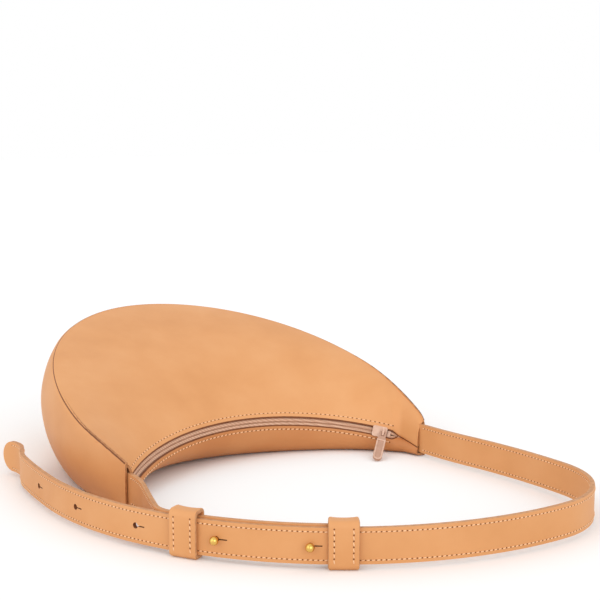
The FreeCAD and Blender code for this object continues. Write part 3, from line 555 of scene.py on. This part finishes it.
def loftPanel(name, profile, out, sags, hide, replaces):  # out turns the section's normal outwards
    bm = bmesh.new()
    bmesh.ops.create_grid(bm, x_segments=grid["columns"], y_segments=grid["rows"], size=1)
    for v in bm.verts:
        q = round(v.co.x * (1 + grid["tipCrowd"] - grid["tipCrowd"] * v.co.x ** 2), 6)
        y = (v.co.y + 1) / 2
        t = y - grid["edgeCrowd"] * math.sin(2 * math.pi * y) / (2 * math.pi)
        v.co = bagPoint(profile, q, t)
        if sags:
            v.co += bagNormal(profile, q, t, out) * softShape(v.co, q, t)
    bm.normal_update()
    target = bagPoint(profile, 0.0, 0.5)
    middle = min(bm.faces, key=lambda f: (f.verts[0].co - target).length)
    if middle.normal.dot(bagNormal(profile, 0.0, 0.5, out)) < 0:
        bmesh.ops.reverse_faces(bm, faces=bm.faces)
    piece = finishPiece(name, bm, [hide, panelEdge], "bag", replaces)
    thicken(piece, bag["leather"], -1.0)
    roundEdges(piece, bag["edgeRound"])


loftPanel("frontPanelLeather", frontPoint, -1, True, leather, ["front_panel"])
loftPanel("gussetLeather", gussetPoint, 1, True, leather, ["gusset"])
# the back panel takes the darker leather, painted shade for the hollow wall
loftPanel("backPanelLeather", backPoint, 1, False, paintedShadeBackLeather, ["back_panel"])

seamLine = {
    "radius": 0.55, "sunk": 1.6, "zipRadius": 0.6, "zipSunk": 0.75,
    "columns": 240, "sides": 6, "length": 0.998,  # it ends just inside the tips
}


def makeSeamLine(name, pointOf, radius):  # dark raw edges in a seam or at the zip, coloured darker as painted shade of the groove and the gap beside them
    bm = bmesh.new()
    bmesh.ops.create_grid(bm, x_segments=seamLine["columns"], y_segments=seamLine["sides"], size=1)
    for v in bm.verts:
        s = station(round(v.co.x * seamLine["length"], 6))
        v.co = inFrame(s, pointOf(s) + turned(v.co.y * 180, radius).to_2d())
    bmesh.ops.remove_doubles(bm, verts=bm.verts, dist=0.001)
    bmesh.ops.holes_fill(bm, edges=bm.edges)
    bmesh.ops.recalc_face_normals(bm, faces=bm.faces)
    finishPiece(name, bm, [seamEdgeAndShade], "bag")


def sewnLine(index, way):
    return lambda s: seamPoints(s)[index] + way * s["sewn"] * seamLine["sunk"]


def zipLine(profile, edge):
    inward = -edge.normalized() * seamLine["zipSunk"]
    return lambda s: profile(s, 0.0) + inward


makeSeamLine("topSeamLine", sewnLine(0, topSew), seamLine["radius"])
makeSeamLine("bottomSeamLine", sewnLine(1, bottomSew), seamLine["radius"])
makeSeamLine("zipEdgeFront", zipLine(frontPoint, frontEdge), seamLine["zipRadius"])
makeSeamLine("zipEdgeBack", zipLine(backPoint, backEdge), seamLine["zipRadius"])
print("bag panels lofted")


# Stitching: short threads lying on the leather, with a dark disc between each two as painted shade of a
# needle hole

stitch = {
    "radius": 0.45, "sunk": 0.1, "proud": 0.4, "fill": 0.7, "slant": 10.0, "sides": 6,
    "holeShare": 0.155, "holeSides": 8, "holeUp": 0.05,
}


def makeStitch(length):
    bm = bmesh.new()
    r = stitch["radius"]
    lean = Matrix.Rotation(math.radians(stitch["slant"]), 4, "Z")
    size = Matrix.Diagonal((length * stitch["fill"] / 2, r, r, 1.0))
    lift = Matrix.Translation((0, 0, r * stitch["proud"] - stitch["sunk"]))
    bmesh.ops.create_uvsphere(bm, u_segments=stitch["sides"], v_segments=stitch["sides"], radius=1.0,
                              matrix=lift @ lean @ size @ Matrix.Rotation(math.pi / 2, 4, "Y"))
    # the needle hole is a flat disc on the leather in the dark hole colour: painted shade
    hole = Matrix.Translation((length / 2, 0, stitch["holeUp"]))
    bmesh.ops.create_circle(bm, cap_ends=True, segments=stitch["holeSides"],
                            radius=length * stitch["holeShare"], matrix=hole)
    for face in bm.faces:
        face.material_index = 1 if len(face.verts) == stitch["holeSides"] else 0
    return keepTemplate(bm, "stitchTemplate")


def sewRow(bm, places, length):  # a place is a point, the way of the seam and the leather's outward normal
    template = makeStitch(length)
    for point, way, normal in places:
        way = (way - normal * way.dot(normal)).normalized()
        stamp(bm, template, basisMatrix(point, way, normal.cross(way), normal))
    bpy.data.meshes.remove(template)


zipStitch = {"frontInset": 3.6, "backInset": 2.7, "pitch": 3.9, "past": 1.5}


def insetShare(profile, q, inset):  # how far along a section lies a given distance from its zip edge
    s = station(q)
    first = profile(s, 0.0)
    t = 0.05  # a first guess, made better four times
    for _ in range(4):
        t *= inset / max(0.01, (profile(s, t) - first).length)
    return t


def zipRow(profile, out, inset):
    places = []
    end, step = 0.99, 0.0005
    q = -end
    while q < end:
        t = insetShare(profile, q, inset)
        here = bagPoint(profile, q, t)
        ahead = bagPoint(profile, q + step, insetShare(profile, q + step, inset))
        if station(q)["pastZip"] < zipStitch["past"]:
            places.append((here, (ahead - here).normalized(), bagNormal(profile, q, t, out)))
        q += zipStitch["pitch"] * step / (ahead - here).length
    return places


def sewZip():
    bm = bmesh.new()
    sewRow(bm, zipRow(frontPoint, -1, zipStitch["frontInset"]), zipStitch["pitch"])
    sewRow(bm, zipRow(backPoint, 1, zipStitch["backInset"]), zipStitch["pitch"])
    finishPiece("zipStitching", bm, [thread, paintedHoleShade], "bag")


sewZip()
print("zip seams sewn")


# Zip: the woven tapes face outwards and the coils lie behind them, so only a fine line of teeth shows

zipTape = {
    "near": 0.7, "nearIn": 0.3, "lip": 0.65, "flat": 2.5, "bendIn": 0.4,  # places across and into the zip
    "steps": 200,
    "past": 4.0,  # the tapes run on past the stops and close under the leather
    "drawFrom": 0.6, "drawIn": 2.2, "drawShare": 0.8,
}
tooth = {"pitch": 1.5, "gap": -1.6, "short": 0.5, "halfWide": 0.6, "halfDeep": 0.8, "inward": 0.6}


def chainPoint(across, inward):  # a place in the zip's section, in the plane through its axis
    r = zipRadius + across * sind(zipper["faceTilt"]) + inward * cosd(zipper["faceTilt"])
    return Vector((r, 0, across * cosd(zipper["faceTilt"]) - inward * sind(zipper["faceTilt"])))


def onZip(point, angle):  # angle from the middle of the zip, to the right
    return zipFrame @ (Matrix.Rotation(math.radians(90 - angle), 4, "Z") @ point)


def makeTapePiece(name, side, lean, replaces):
    bm = bmesh.new()
    run = zipper["tapeWidth"] - zipper["coilWidth"]
    folds = ((zipTape["near"], zipTape["nearIn"]), (zipTape["lip"], 0.0), (zipTape["flat"], 0.0),
             (halfChain, zipTape["bendIn"]))
    section = [chainPoint(side * across, inward) for across, inward in folds]
    section.append(section[-1] + Vector((cosd(lean) * run, 0, sind(lean) * run)))
    first, last = zipper["leftAngle"] + zipTape["past"], zipper["rightAngle"] + zipTape["past"]
    points = [bm.verts.new(onZip(p, -first)) for p in section]
    edges = [bm.edges.new(pair) for pair in zip(points, points[1:])]
    axis = zipFrame.to_3x3() @ Vector((0, 0, 1))
    bmesh.ops.spin(bm, geom=points + edges, cent=zipCentre, axis=axis, steps=zipTape["steps"],
                   angle=-math.radians(first + last), use_duplicate=False)
    bmesh.ops.recalc_face_normals(bm, faces=bm.faces)
    toZip = zipFrame.inverted()
    for v in bm.verts:  # past the stops the tapes draw together and sink
        local = toZip @ v.co
        angle = math.degrees(math.atan2(local.x, local.y))
        drawn = ease(pastZip(angle), zipTape["drawFrom"], zipTape["past"] - zipTape["drawFrom"])
        v.co = v.co.lerp(onZip(chainPoint(0, zipTape["drawIn"]), angle), zipTape["drawShare"] * drawn)
    piece = finishPiece(name, bm, [tape], "bag", replaces)
    thicken(piece, zipper["tapeThick"], 0.0, rimMaterial=0)


def makeCoilPiece(name, side, replaces):
    reach = halfChain - tooth["short"] - tooth["gap"] / 2
    middle = side * (tooth["gap"] / 2 + reach / 2)
    bm = bmesh.new()
    size = Matrix.Diagonal((reach / 2, tooth["halfWide"], tooth["halfDeep"], 1.0))
    bmesh.ops.create_uvsphere(bm, u_segments=8, v_segments=6, radius=1.0, matrix=size)
    template = keepTemplate(bm, "toothTemplate")
    bm = bmesh.new()
    pitch = math.degrees(tooth["pitch"] / zipRadius)
    count = int((zipper["leftAngle"] + zipper["rightAngle"]) / pitch)
    for i in range(count):
        angle = -zipper["leftAngle"] + (i + 0.5 - side / 4) * pitch  # the two rows of teeth alternate
        centre = onZip(chainPoint(middle, tooth["inward"]), angle)
        across = (onZip(chainPoint(middle + 1, tooth["inward"]), angle) - centre).normalized()
        outward = (onZip(chainPoint(middle, tooth["inward"] - 1), angle) - centre).normalized()
        stamp(bm, template, basisMatrix(centre, across, outward.cross(across), outward))
    bpy.data.meshes.remove(template)
    finishPiece(name, bm, [coil], "bag", replaces)


makeTapePiece("zipTapeFront", 1, zipper["frontLean"], ["zip_tape_front"])
makeTapePiece("zipTapeBack", -1, zipper["backLean"], ["zip_tape_back"])
makeCoilPiece("zipCoilFront", 1, ["zip_coil_front"])
makeCoilPiece("zipCoilBack", -1, ["zip_coil_back"])

# Zip pull: a raised rim on both faces of the plate

pull = {
    "reach": 32.2, "width": 7.6, "thick": 1.6,
    "rimStart": 9.4, "rim": 1.3, "inset": 0.1, "raised": 0.6, "sunk": 0.05, "rounding": 0.15, "steps": 12,
}
upWay = Vector((0, 0, 1))


def pullFrame():  # the pull's place at rest: from its bar, across, along and out of the plate
    swing = next(j for j in frame["joints"] if j["name"] == "zip_pull_swing")
    bar = Vector(swing["pos_m"]) / mm
    across = Vector(swing["axis"])
    liftWay = (upWay - across * across.z).normalized()
    drop = math.asin((bar.z - pull["thick"]) / (pull["reach"] * liftWay.z))
    along = across.cross(liftWay) * math.cos(drop) - liftWay * math.sin(drop)
    return basisMatrix(bar, across, along, across.cross(along))


def makeRim():
    bm = bmesh.new()
    half = pull["width"] / 2 - pull["inset"]
    tipCentre = Vector((0, pull["reach"] - pull["width"] / 2, 0))
    outline = [Vector((half, pull["rimStart"], 0))]
    outline += [tipCentre + turned(180 * i / pull["steps"], half) for i in range(pull["steps"] + 1)]
    outline.append(Vector((-half, pull["rimStart"], 0)))
    plate = bmesh.ops.contextual_create(bm, geom=ringEdges(bm, outline))["faces"]
    bmesh.ops.inset_region(bm, faces=plate, thickness=pull["rim"], use_boundary=True, use_even_offset=True)
    bmesh.ops.delete(bm, geom=plate, context="FACES_ONLY")
    raised = bmesh.ops.extrude_face_region(bm, geom=bm.faces[:])["geom"]
    bmesh.ops.translate(bm, vec=(0, 0, pull["raised"]), verts=onlyVerts(raised))
    bmesh.ops.recalc_face_normals(bm, faces=bm.faces)
    return keepTemplate(bm, "rimTemplate")


def makePullRim():
    rim = makeRim()
    bm = bmesh.new()
    place = pullFrame()
    lift = Matrix.Translation((0, 0, pull["thick"] / 2 - pull["sunk"]))
    stamp(bm, rim, place @ lift)
    stamp(bm, rim, place @ Matrix.Rotation(math.pi, 4, "Y") @ lift)
    bpy.data.meshes.remove(rim)
    roundEdges(finishPiece("zipPullRim", bm, [sliderMetal], "zip_pull"), pull["rounding"])


makePullRim()
print("zip made")


# Straps: leather plies standing on edge along routes of straight runs and tangent bends

strap = {
    "width": 24.0, "ply": 1.6, "plyGap": 0.06, "space": 0.4, "low": 3.5, "inTip": 14.0, "sideRoom": 0.4,
    "column": 2.5, "edgeRound": 0.4, "tongueSteps": 20,
    "longStart": 16.0,
    "longBends": [(400, 7.9), (463, -12), (75.4, -83.5), (246, -15.5),
                  (244.6, -80.8), (600, -5.5), (90, -18.2), (32, 41)],  # radius and turn of each bend
    "lapIndex": 4,  # the bend on which the two straps lie together
    "shortStart": 17.0, "shortBend": (80, -19), "shortTurnIn": 20.0, "shortEnd": 90.0,
    "studAt": 117.0, "studs": 2, "holes": 5, "holePitch": 61.6,
    "leftKeeperAt": 201.2, "rightKeeperAt": 96.0, "hingeAt": 225.7, "hingeReach": 9.0, "splitGap": 0.1,
    "holeSize": 4.2, "holeSteps": 18, "slitLength": 5.5, "slitWidth": 0.8,
    "tipRise": 3.2, "lapRise": 1.0, "riseRun": 60.0,  # the short strap leaves its tip high
}
strapX = bag["tipHalfSpan"] - bag["leather"] - strap["sideRoom"] - strap["ply"]
strapMid = strap["low"] + strap["width"] / 2
lapRadius = strap["longBends"][strap["lapIndex"]][0]


class StrapRoute:
    def __init__(self, start, heading, rise=None):
        self.pieces, self.end, self.heading, self.length = [], start, heading, 0.0
        self.rise = rise or (lambda way: 0.0)  # height of the strap above its usual level

    def straight(self, length):
        self.pieces.append((self.length, length, self.end, self.heading, 0.0))
        self.end = self.end + turned(self.heading, length)
        self.length += length

    def bend(self, radius, turn):
        curve = math.copysign(1 / radius, turn)
        length = radius * math.radians(abs(turn))
        self.pieces.append((self.length, length, self.end, self.heading, curve))
        centre = self.end + turned(self.heading + 90, 1 / curve)
        self.heading += turn
        self.end = centre - turned(self.heading + 90, 1 / curve)
        self.length += length
        return centre

    def at(self, way):
        for begin, length, start, heading, curve in self.pieces:
            if way <= begin + length or begin + length >= self.length:
                break
        if curve == 0:
            return start + turned(heading, way - begin), heading
        centre = start + turned(heading + 90, 1 / curve)
        now = heading + math.degrees(curve * (way - begin))
        return centre - turned(now + 90, 1 / curve), now

    def place(self, way, left, z):
        point, heading = self.at(way)
        return point + turned(heading + 90, left) + Vector((0, 0, z + self.rise(way)))


longRoute = StrapRoute(Vector((strapX, bag["tipY"] + strap["inTip"], 0)), -90)
longRoute.straight(strap["longStart"])
for index, (radius, turn) in enumerate(strap["longBends"]):
    if index == strap["lapIndex"]:
        lapStart = longRoute.length
        lapCentre = longRoute.bend(radius, turn)
    else:
        longRoute.bend(radius, turn)
longRoute.straight(strap["width"] / 2)


def lapPolar(distance):
    point = longRoute.at(lapStart + distance)[0] - lapCentre
    return math.degrees(math.atan2(point.y, point.x))


def shortRise(way):
    sunk = ease(way, strap["inTip"], strap["riseRun"])
    return strap["lapRise"] + (strap["tipRise"] - strap["lapRise"]) * (1 - sunk)


def makeShortRoute():  # out of the left tip, and round to lie behind the long strap
    route = StrapRoute(Vector((-strapX, bag["tipY"] + strap["inTip"], 0)), -90, shortRise)
    route.straight(strap["shortStart"])
    route.bend(*strap["shortBend"])
    radius = lapRadius - 2 * strap["ply"] - strap["space"]
    turnIn = strap["shortTurnIn"]
    fromLap = route.end + turned(route.heading + 90, turnIn) - lapCentre
    reach = fromLap.dot(turned(route.heading, 1))
    route.straight(math.sqrt(reach ** 2 + (radius - turnIn) ** 2 - fromLap.dot(fromLap)) - reach)
    fromLap = route.end + turned(route.heading + 90, turnIn) - lapCentre
    meet = math.degrees(math.atan2(fromLap.y, fromLap.x))
    route.bend(turnIn, meet + 90 - route.heading)
    route.bend(radius, lapPolar(strap["shortEnd"]) - meet)
    return route


shortRoute = makeShortRoute()


def keyholeOutline(x):  # round hole with a slit towards the start of the strap
    r, half = strap["holeSize"] / 2, strap["slitWidth"] / 2
    first = math.degrees(math.asin(half / r))
    slitEnd = x - r - strap["slitLength"]
    points = [Vector((slitEnd, half, 0)), Vector((slitEnd, -half, 0))]
    for i in range(strap["holeSteps"] + 1):
        angle = 180 + first + (360 - 2 * first) * i / strap["holeSteps"]
        points.append(Vector((x + cosd(angle) * r, sind(angle) * r, 0)))
    return points


def plyOutline(first, last, tongue):
    half, steps = strap["width"] / 2, strap["tongueSteps"]
    outline = [Vector((first, -half, 0))]
    if tongue:
        turns = [-90 + 180 * i / steps for i in range(steps + 1)]
        outline += [Vector((last - half, 0, 0)) + turned(angle, half) for angle in turns]
    else:
        outline += [Vector((last, -half, 0)), Vector((last, half, 0))]
    return outline + [Vector((first, half, 0))]


def makePly(name, route, first, last, left, holes, tongue=False, body=None, replaces=()):
    bm = bmesh.new()
    edges = ringEdges(bm, plyOutline(first, last, tongue))
    for x in holes:
        edges += ringEdges(bm, keyholeOutline(x))
    bmesh.ops.triangle_fill(bm, use_beauty=True, edges=edges)
    cuts = int((last - first) / strap["column"])
    for i in range(1, cuts):
        x = first + (last - first) * i / cuts
        bmesh.ops.bisect_plane(bm, geom=bm.verts[:] + bm.edges[:] + bm.faces[:], dist=0.02,
                               plane_co=(x, 0, 0), plane_no=(1, 0, 0))
    made = bmesh.ops.extrude_face_region(bm, geom=bm.faces[:], use_keep_orig=True)["geom"]
    bmesh.ops.translate(bm, vec=(0, 0, 1), verts=onlyVerts(made))
    bmesh.ops.recalc_face_normals(bm, faces=bm.faces)
    for face in bm.faces:
        if abs(face.normal.z) < 0.5:  # a cut edge, or the wall of a hole
            # hole walls take the dark hole colour: painted shade inside the keyholes
            inside = abs(face.calc_center_median().y) < strap["holeSize"] and holes
            face.material_index = 2 if inside else 1
    for v in bm.verts:
        depth = (v.co.z - 0.5) * (strap["ply"] - strap["plyGap"])
        v.co = route.place(v.co.x, left + depth, strapMid + v.co.y)
    bmesh.ops.recalc_face_normals(bm, faces=bm.faces)
    piece = finishPiece(name, bm, [leather, strapEdge, paintedHoleShade], body, replaces)
    roundEdges(piece, strap["edgeRound"])
    return piece


holeWays = [lapStart + strap["studAt"] + i * strap["holePitch"] for i in range(strap["holes"])]
splitWay = lapStart + strap["leftKeeperAt"]  # the tail's dressed piece starts inside the left keeper
hingeWay = lapStart + strap["hingeAt"]
bendStart = longRoute.place(hingeWay - strap["hingeReach"], 0, 0) * mm
bendEnd = longRoute.place(hingeWay + strap["hingeReach"], 0, 0) * mm
for side, word in ((1, "Outer"), (-1, "Inner")):
    left = side * strap["ply"] / 2
    makePly("longStrap" + word, longRoute, 0.0, splitWay, left, holeWays[:strap["studs"]], body="bag",
            replaces=["long_strap_%s_ply" % word.lower()])
    tail = makePly("strapTail" + word, longRoute, splitWay + strap["splitGap"], longRoute.length, left,
                   holeWays[strap["studs"]:], tongue=True, replaces=["strap_tail_%s_ply" % word.lower()])
    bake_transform(tail)
    makePly("shortStrap" + word, shortRoute, 0.0, shortRoute.length, -left, [], body="bag",
            replaces=["short_strap_%s_ply" % word.lower()])
print("straps cut and bent")

strapStitch = {"inset": 2.7, "pitch": 3.3, "fromTip": 3.0, "fromEnd": 2.0}


def strapRow(route, first, last, left, z):
    places = []
    count = int((last - first) / strapStitch["pitch"])
    for i in range(count):
        way = first + (i + 0.5) * (last - first) / count
        heading = route.at(way)[1]
        outward = turned(heading + 90, math.copysign(1, left))
        places.append((route.place(way, left, z), turned(heading, 1), outward))
    return places


def sewStrap(name, route, first, last, body=None):
    bm = bmesh.new()
    inset = strapStitch["inset"]
    for left in (strap["ply"], -strap["ply"]):
        for z in (strap["low"] + inset, strap["low"] + strap["width"] - inset):
            sewRow(bm, strapRow(route, first, last, left, z), strapStitch["pitch"])
    return finishPiece(name, bm, [thread, paintedHoleShade], body)


sewFrom = strap["inTip"] + strapStitch["fromTip"]
sewStrap("longStrapStitching", longRoute, sewFrom, splitWay, "bag")
sewStrap("shortStrapStitching", shortRoute, sewFrom, shortRoute.length - strapStitch["fromEnd"], "bag")
tailThread = sewStrap("strapTailStitching", longRoute, splitWay, longRoute.length - strap["width"] / 2)
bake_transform(tailThread)
print("straps sewn")


# Keepers: loops of thick leather round both straps

keeper = {
    "width": 19.5, "wall": 3.0, "room": 0.5, "topRoom": 1.2,
    "corner": 4.2, "cornerSteps": 5, "rounding": 1.1, "columns": 8,
    "flare": 0.045, "flarePower": 2.5,  # the cut edges spread a little
    "stitchInset": 3.6, "pitch": 3.9,
}
keeperOuter = lapRadius + strap["ply"] + keeper["room"] + keeper["wall"]
keeperInner = lapRadius - 3 * strap["ply"] - strap["space"] - keeper["room"] - keeper["wall"]
keeperTall = strap["width"] + 2 * keeper["room"] + 2 * keeper["wall"] + keeper["topRoom"]
keeperHalfTurn = math.degrees(keeper["width"] / 2 / lapRadius)


def keeperLoop():  # rounded oblong round the straps: radius from the lap's centre and height
    corner, steps = keeper["corner"], keeper["cornerSteps"]
    far, near, high = keeperOuter - corner, keeperInner + corner, keeperTall - corner
    points = []
    for x, z, start in ((far, high, 0), (near, high, 90), (near, corner, 180), (far, corner, 270)):
        points += [Vector((x, z, 0)) + turned(start + 90 * i / steps, corner) for i in range(steps + 1)]
    return points


def flareShare(across):  # across runs from -1 to 1 over the keeper's width
    return keeper["flare"] * abs(across) ** keeper["flarePower"]


def spreadOut(radius, across):
    return radius + (radius - (keeperOuter + keeperInner) / 2) * flareShare(across)


def makeKeeper(name, way, node):
    polar = lapPolar(way)
    bm = bmesh.new()
    row = ringEdges(bm, [Vector((0, p.x, p.y)) for p in keeperLoop()])
    for i in range(keeper["columns"]):
        made = bmesh.ops.extrude_edge_only(bm, edges=row)["geom"]
        moved = onlyVerts(made)
        bmesh.ops.translate(bm, vec=(1 / keeper["columns"], 0, 0), verts=moved)
        row = [g for g in made if isinstance(g, bmesh.types.BMEdge) and all(v in moved for v in g.verts)]
    for v in bm.verts:
        across = 2 * v.co.x - 1
        z = v.co.z + max(0.0, v.co.z - keeperTall / 2) * flareShare(across)
        radius = spreadOut(v.co.y, across)
        v.co = lapCentre + turned(polar + keeperHalfTurn * across, radius) + Vector((0, 0, z))
    bmesh.ops.recalc_face_normals(bm, faces=bm.faces)
    piece = finishPiece(name + "Leather", bm, [leather, strapEdge], node, [node])
    thicken(piece, keeper["wall"], -1.0, even=True)
    roundEdges(piece, keeper["rounding"])


def sewKeeper(name, way, node):
    polar = lapPolar(way)
    bm = bmesh.new()
    sideTurn = math.degrees((keeper["width"] / 2 - keeper["stitchInset"]) / keeperOuter)
    count = int((keeperTall - 2 * keeper["corner"]) / keeper["pitch"])
    for angle in (polar - sideTurn, polar + sideTurn):
        for face, out in ((keeperOuter, 1), (keeperInner, -1)):
            radius = spreadOut(face, sideTurn / keeperHalfTurn)
            places = []
            for i in range(count):
                z = keeperTall / 2 + (i - (count - 1) / 2) * keeper["pitch"]
                point = lapCentre + turned(angle, radius) + Vector((0, 0, z))
                places.append((point, upWay, turned(angle, out)))
            sewRow(bm, places, keeper["pitch"])
    finishPiece(name + "Stitching", bm, [thread, paintedHoleShade], node)


for name, way, node in (("leftKeeper", strap["leftKeeperAt"], "keeper_left"),
                        ("rightKeeper", strap["rightKeeperAt"], "keeper_right")):
    makeKeeper(name, way, node)
    sewKeeper(name, way, node)
print("keepers made")

metalNodes = {
    "zip_stop_left": sliderMetal, "zip_stop_right": sliderMetal,
    # the pull takes the darker enamel copy: painted shade
    "zip_slider": sliderMetal, "zip_pull": shadedPullMetal,
    "stud_1": brass, "stud_2": brass, "stud_screw_1": brass, "stud_screw_2": brass,
}
for name, metal in metalNodes.items():
    frame["nodes"][name].data.materials.clear()
    frame["nodes"][name].data.materials.append(metal)


# Stage: pale floor, white surround, soft studio light, the photograph's camera

studio = {
    "surround": 0.88,  # strength of the white surround as a light
    "floorHalf": 6.0, "lampAway": 2.0,  # metres
    "lamps": {  # the way the light goes, its power and its spread
        "overheadLight": ((0.4, -0.15, -1.0), 0.1, 50.0),
        "frontLight": ((0.15, 0.85, -0.25), 0.85, 50.0),
        "leftLight": ((0.9, 0.1, -0.45), 0.5, 50.0),
    },
}
camera = {
    "place": (-0.5627, -0.9554, 0.2886), "ahead": (0.5811, 0.8138), "down": 8.362,  # metres and degrees
    "lens": 78.0, "sensor": 36.0, "near": 0.05,
}


def seenDirectly(tree):  # 1 for what the camera sees straight, in a mirror or through glass
    seen = addNode(tree, "ShaderNodeLightPath").outputs
    direct = addNode(tree, "ShaderNodeMath", {
        0: seen["Is Camera Ray"], 1: seen["Is Glossy Ray"]}, operation="MAXIMUM")
    every = addNode(tree, "ShaderNodeMath", {
        0: direct.outputs[0], 1: seen["Is Transmission Ray"]}, operation="MAXIMUM")
    return every.outputs[0]


def makeFloor():
    bm = bmesh.new()
    bmesh.ops.create_grid(bm, x_segments=1, y_segments=1, size=studio["floorHalf"])
    mesh = keepTemplate(bm, "studioFloor")
    floor = bpy.data.objects.new("studioFloor", mesh)
    bpy.context.scene.collection.objects.link(floor)
    # Matt white studio paper, white to the camera and pale grey to the light it throws back
    material, tree, shader = startMaterial("paleStudioFloor")
    tone = addNode(tree, "ShaderNodeMix", data_type="RGBA", sockets={
        "Factor": seenDirectly(tree), "A": hexColor("#e7e7e7"), "B": hexColor("#ffffff")})
    tree.links.new(tone.outputs["Result"], shader.inputs["Base Color"])
    shader.inputs["Roughness"].default_value = 0.9
    shader.inputs["Specular IOR Level"].default_value = 0.0
    mesh.materials.append(material)


def makeWorld():
    world = bpy.data.worlds.new("whiteStudio")
    bpy.context.scene.world = world
    world.use_nodes = True
    tree = world.node_tree
    background = tree.nodes["Background"]
    strength = addNode(tree, "ShaderNodeMapRange", {
        "Value": seenDirectly(tree), "To Min": studio["surround"], "To Max": 1.0})
    background.inputs["Color"].default_value = hexColor("#ffffff")
    tree.links.new(strength.outputs["Result"], background.inputs["Strength"])


def makeSun(name, way, power, spread):
    light = bpy.data.lights.new(name, "SUN")
    light.energy = power
    light.angle = math.radians(spread)
    lamp = bpy.data.objects.new(name, light)
    lamp.location = Vector(way) * -studio["lampAway"]
    lamp.rotation_euler = Vector(way).to_track_quat("-Z", "Y").to_euler()
    bpy.context.scene.collection.objects.link(lamp)


def makeCamera():
    lens = bpy.data.cameras.new("photoCamera")
    lens.lens = camera["lens"]
    lens.sensor_width = camera["sensor"]
    lens.clip_start = camera["near"]
    shot = bpy.data.objects.new("photoCamera", lens)
    shot.location = camera["place"]
    level = cosd(camera["down"])
    ahead = Vector((camera["ahead"][0] * level, camera["ahead"][1] * level, -sind(camera["down"])))
    shot.rotation_euler = ahead.to_track_quat("-Z", "Y").to_euler()
    bpy.context.scene.collection.objects.link(shot)
    bpy.context.scene.camera = shot


makeFloor()
makeWorld()
for name, (way, power, spread) in studio["lamps"].items():
    makeSun(name, way, power, spread)
makeCamera()
bpy.context.scene.view_settings.view_transform = "Standard"

print("scene ready")
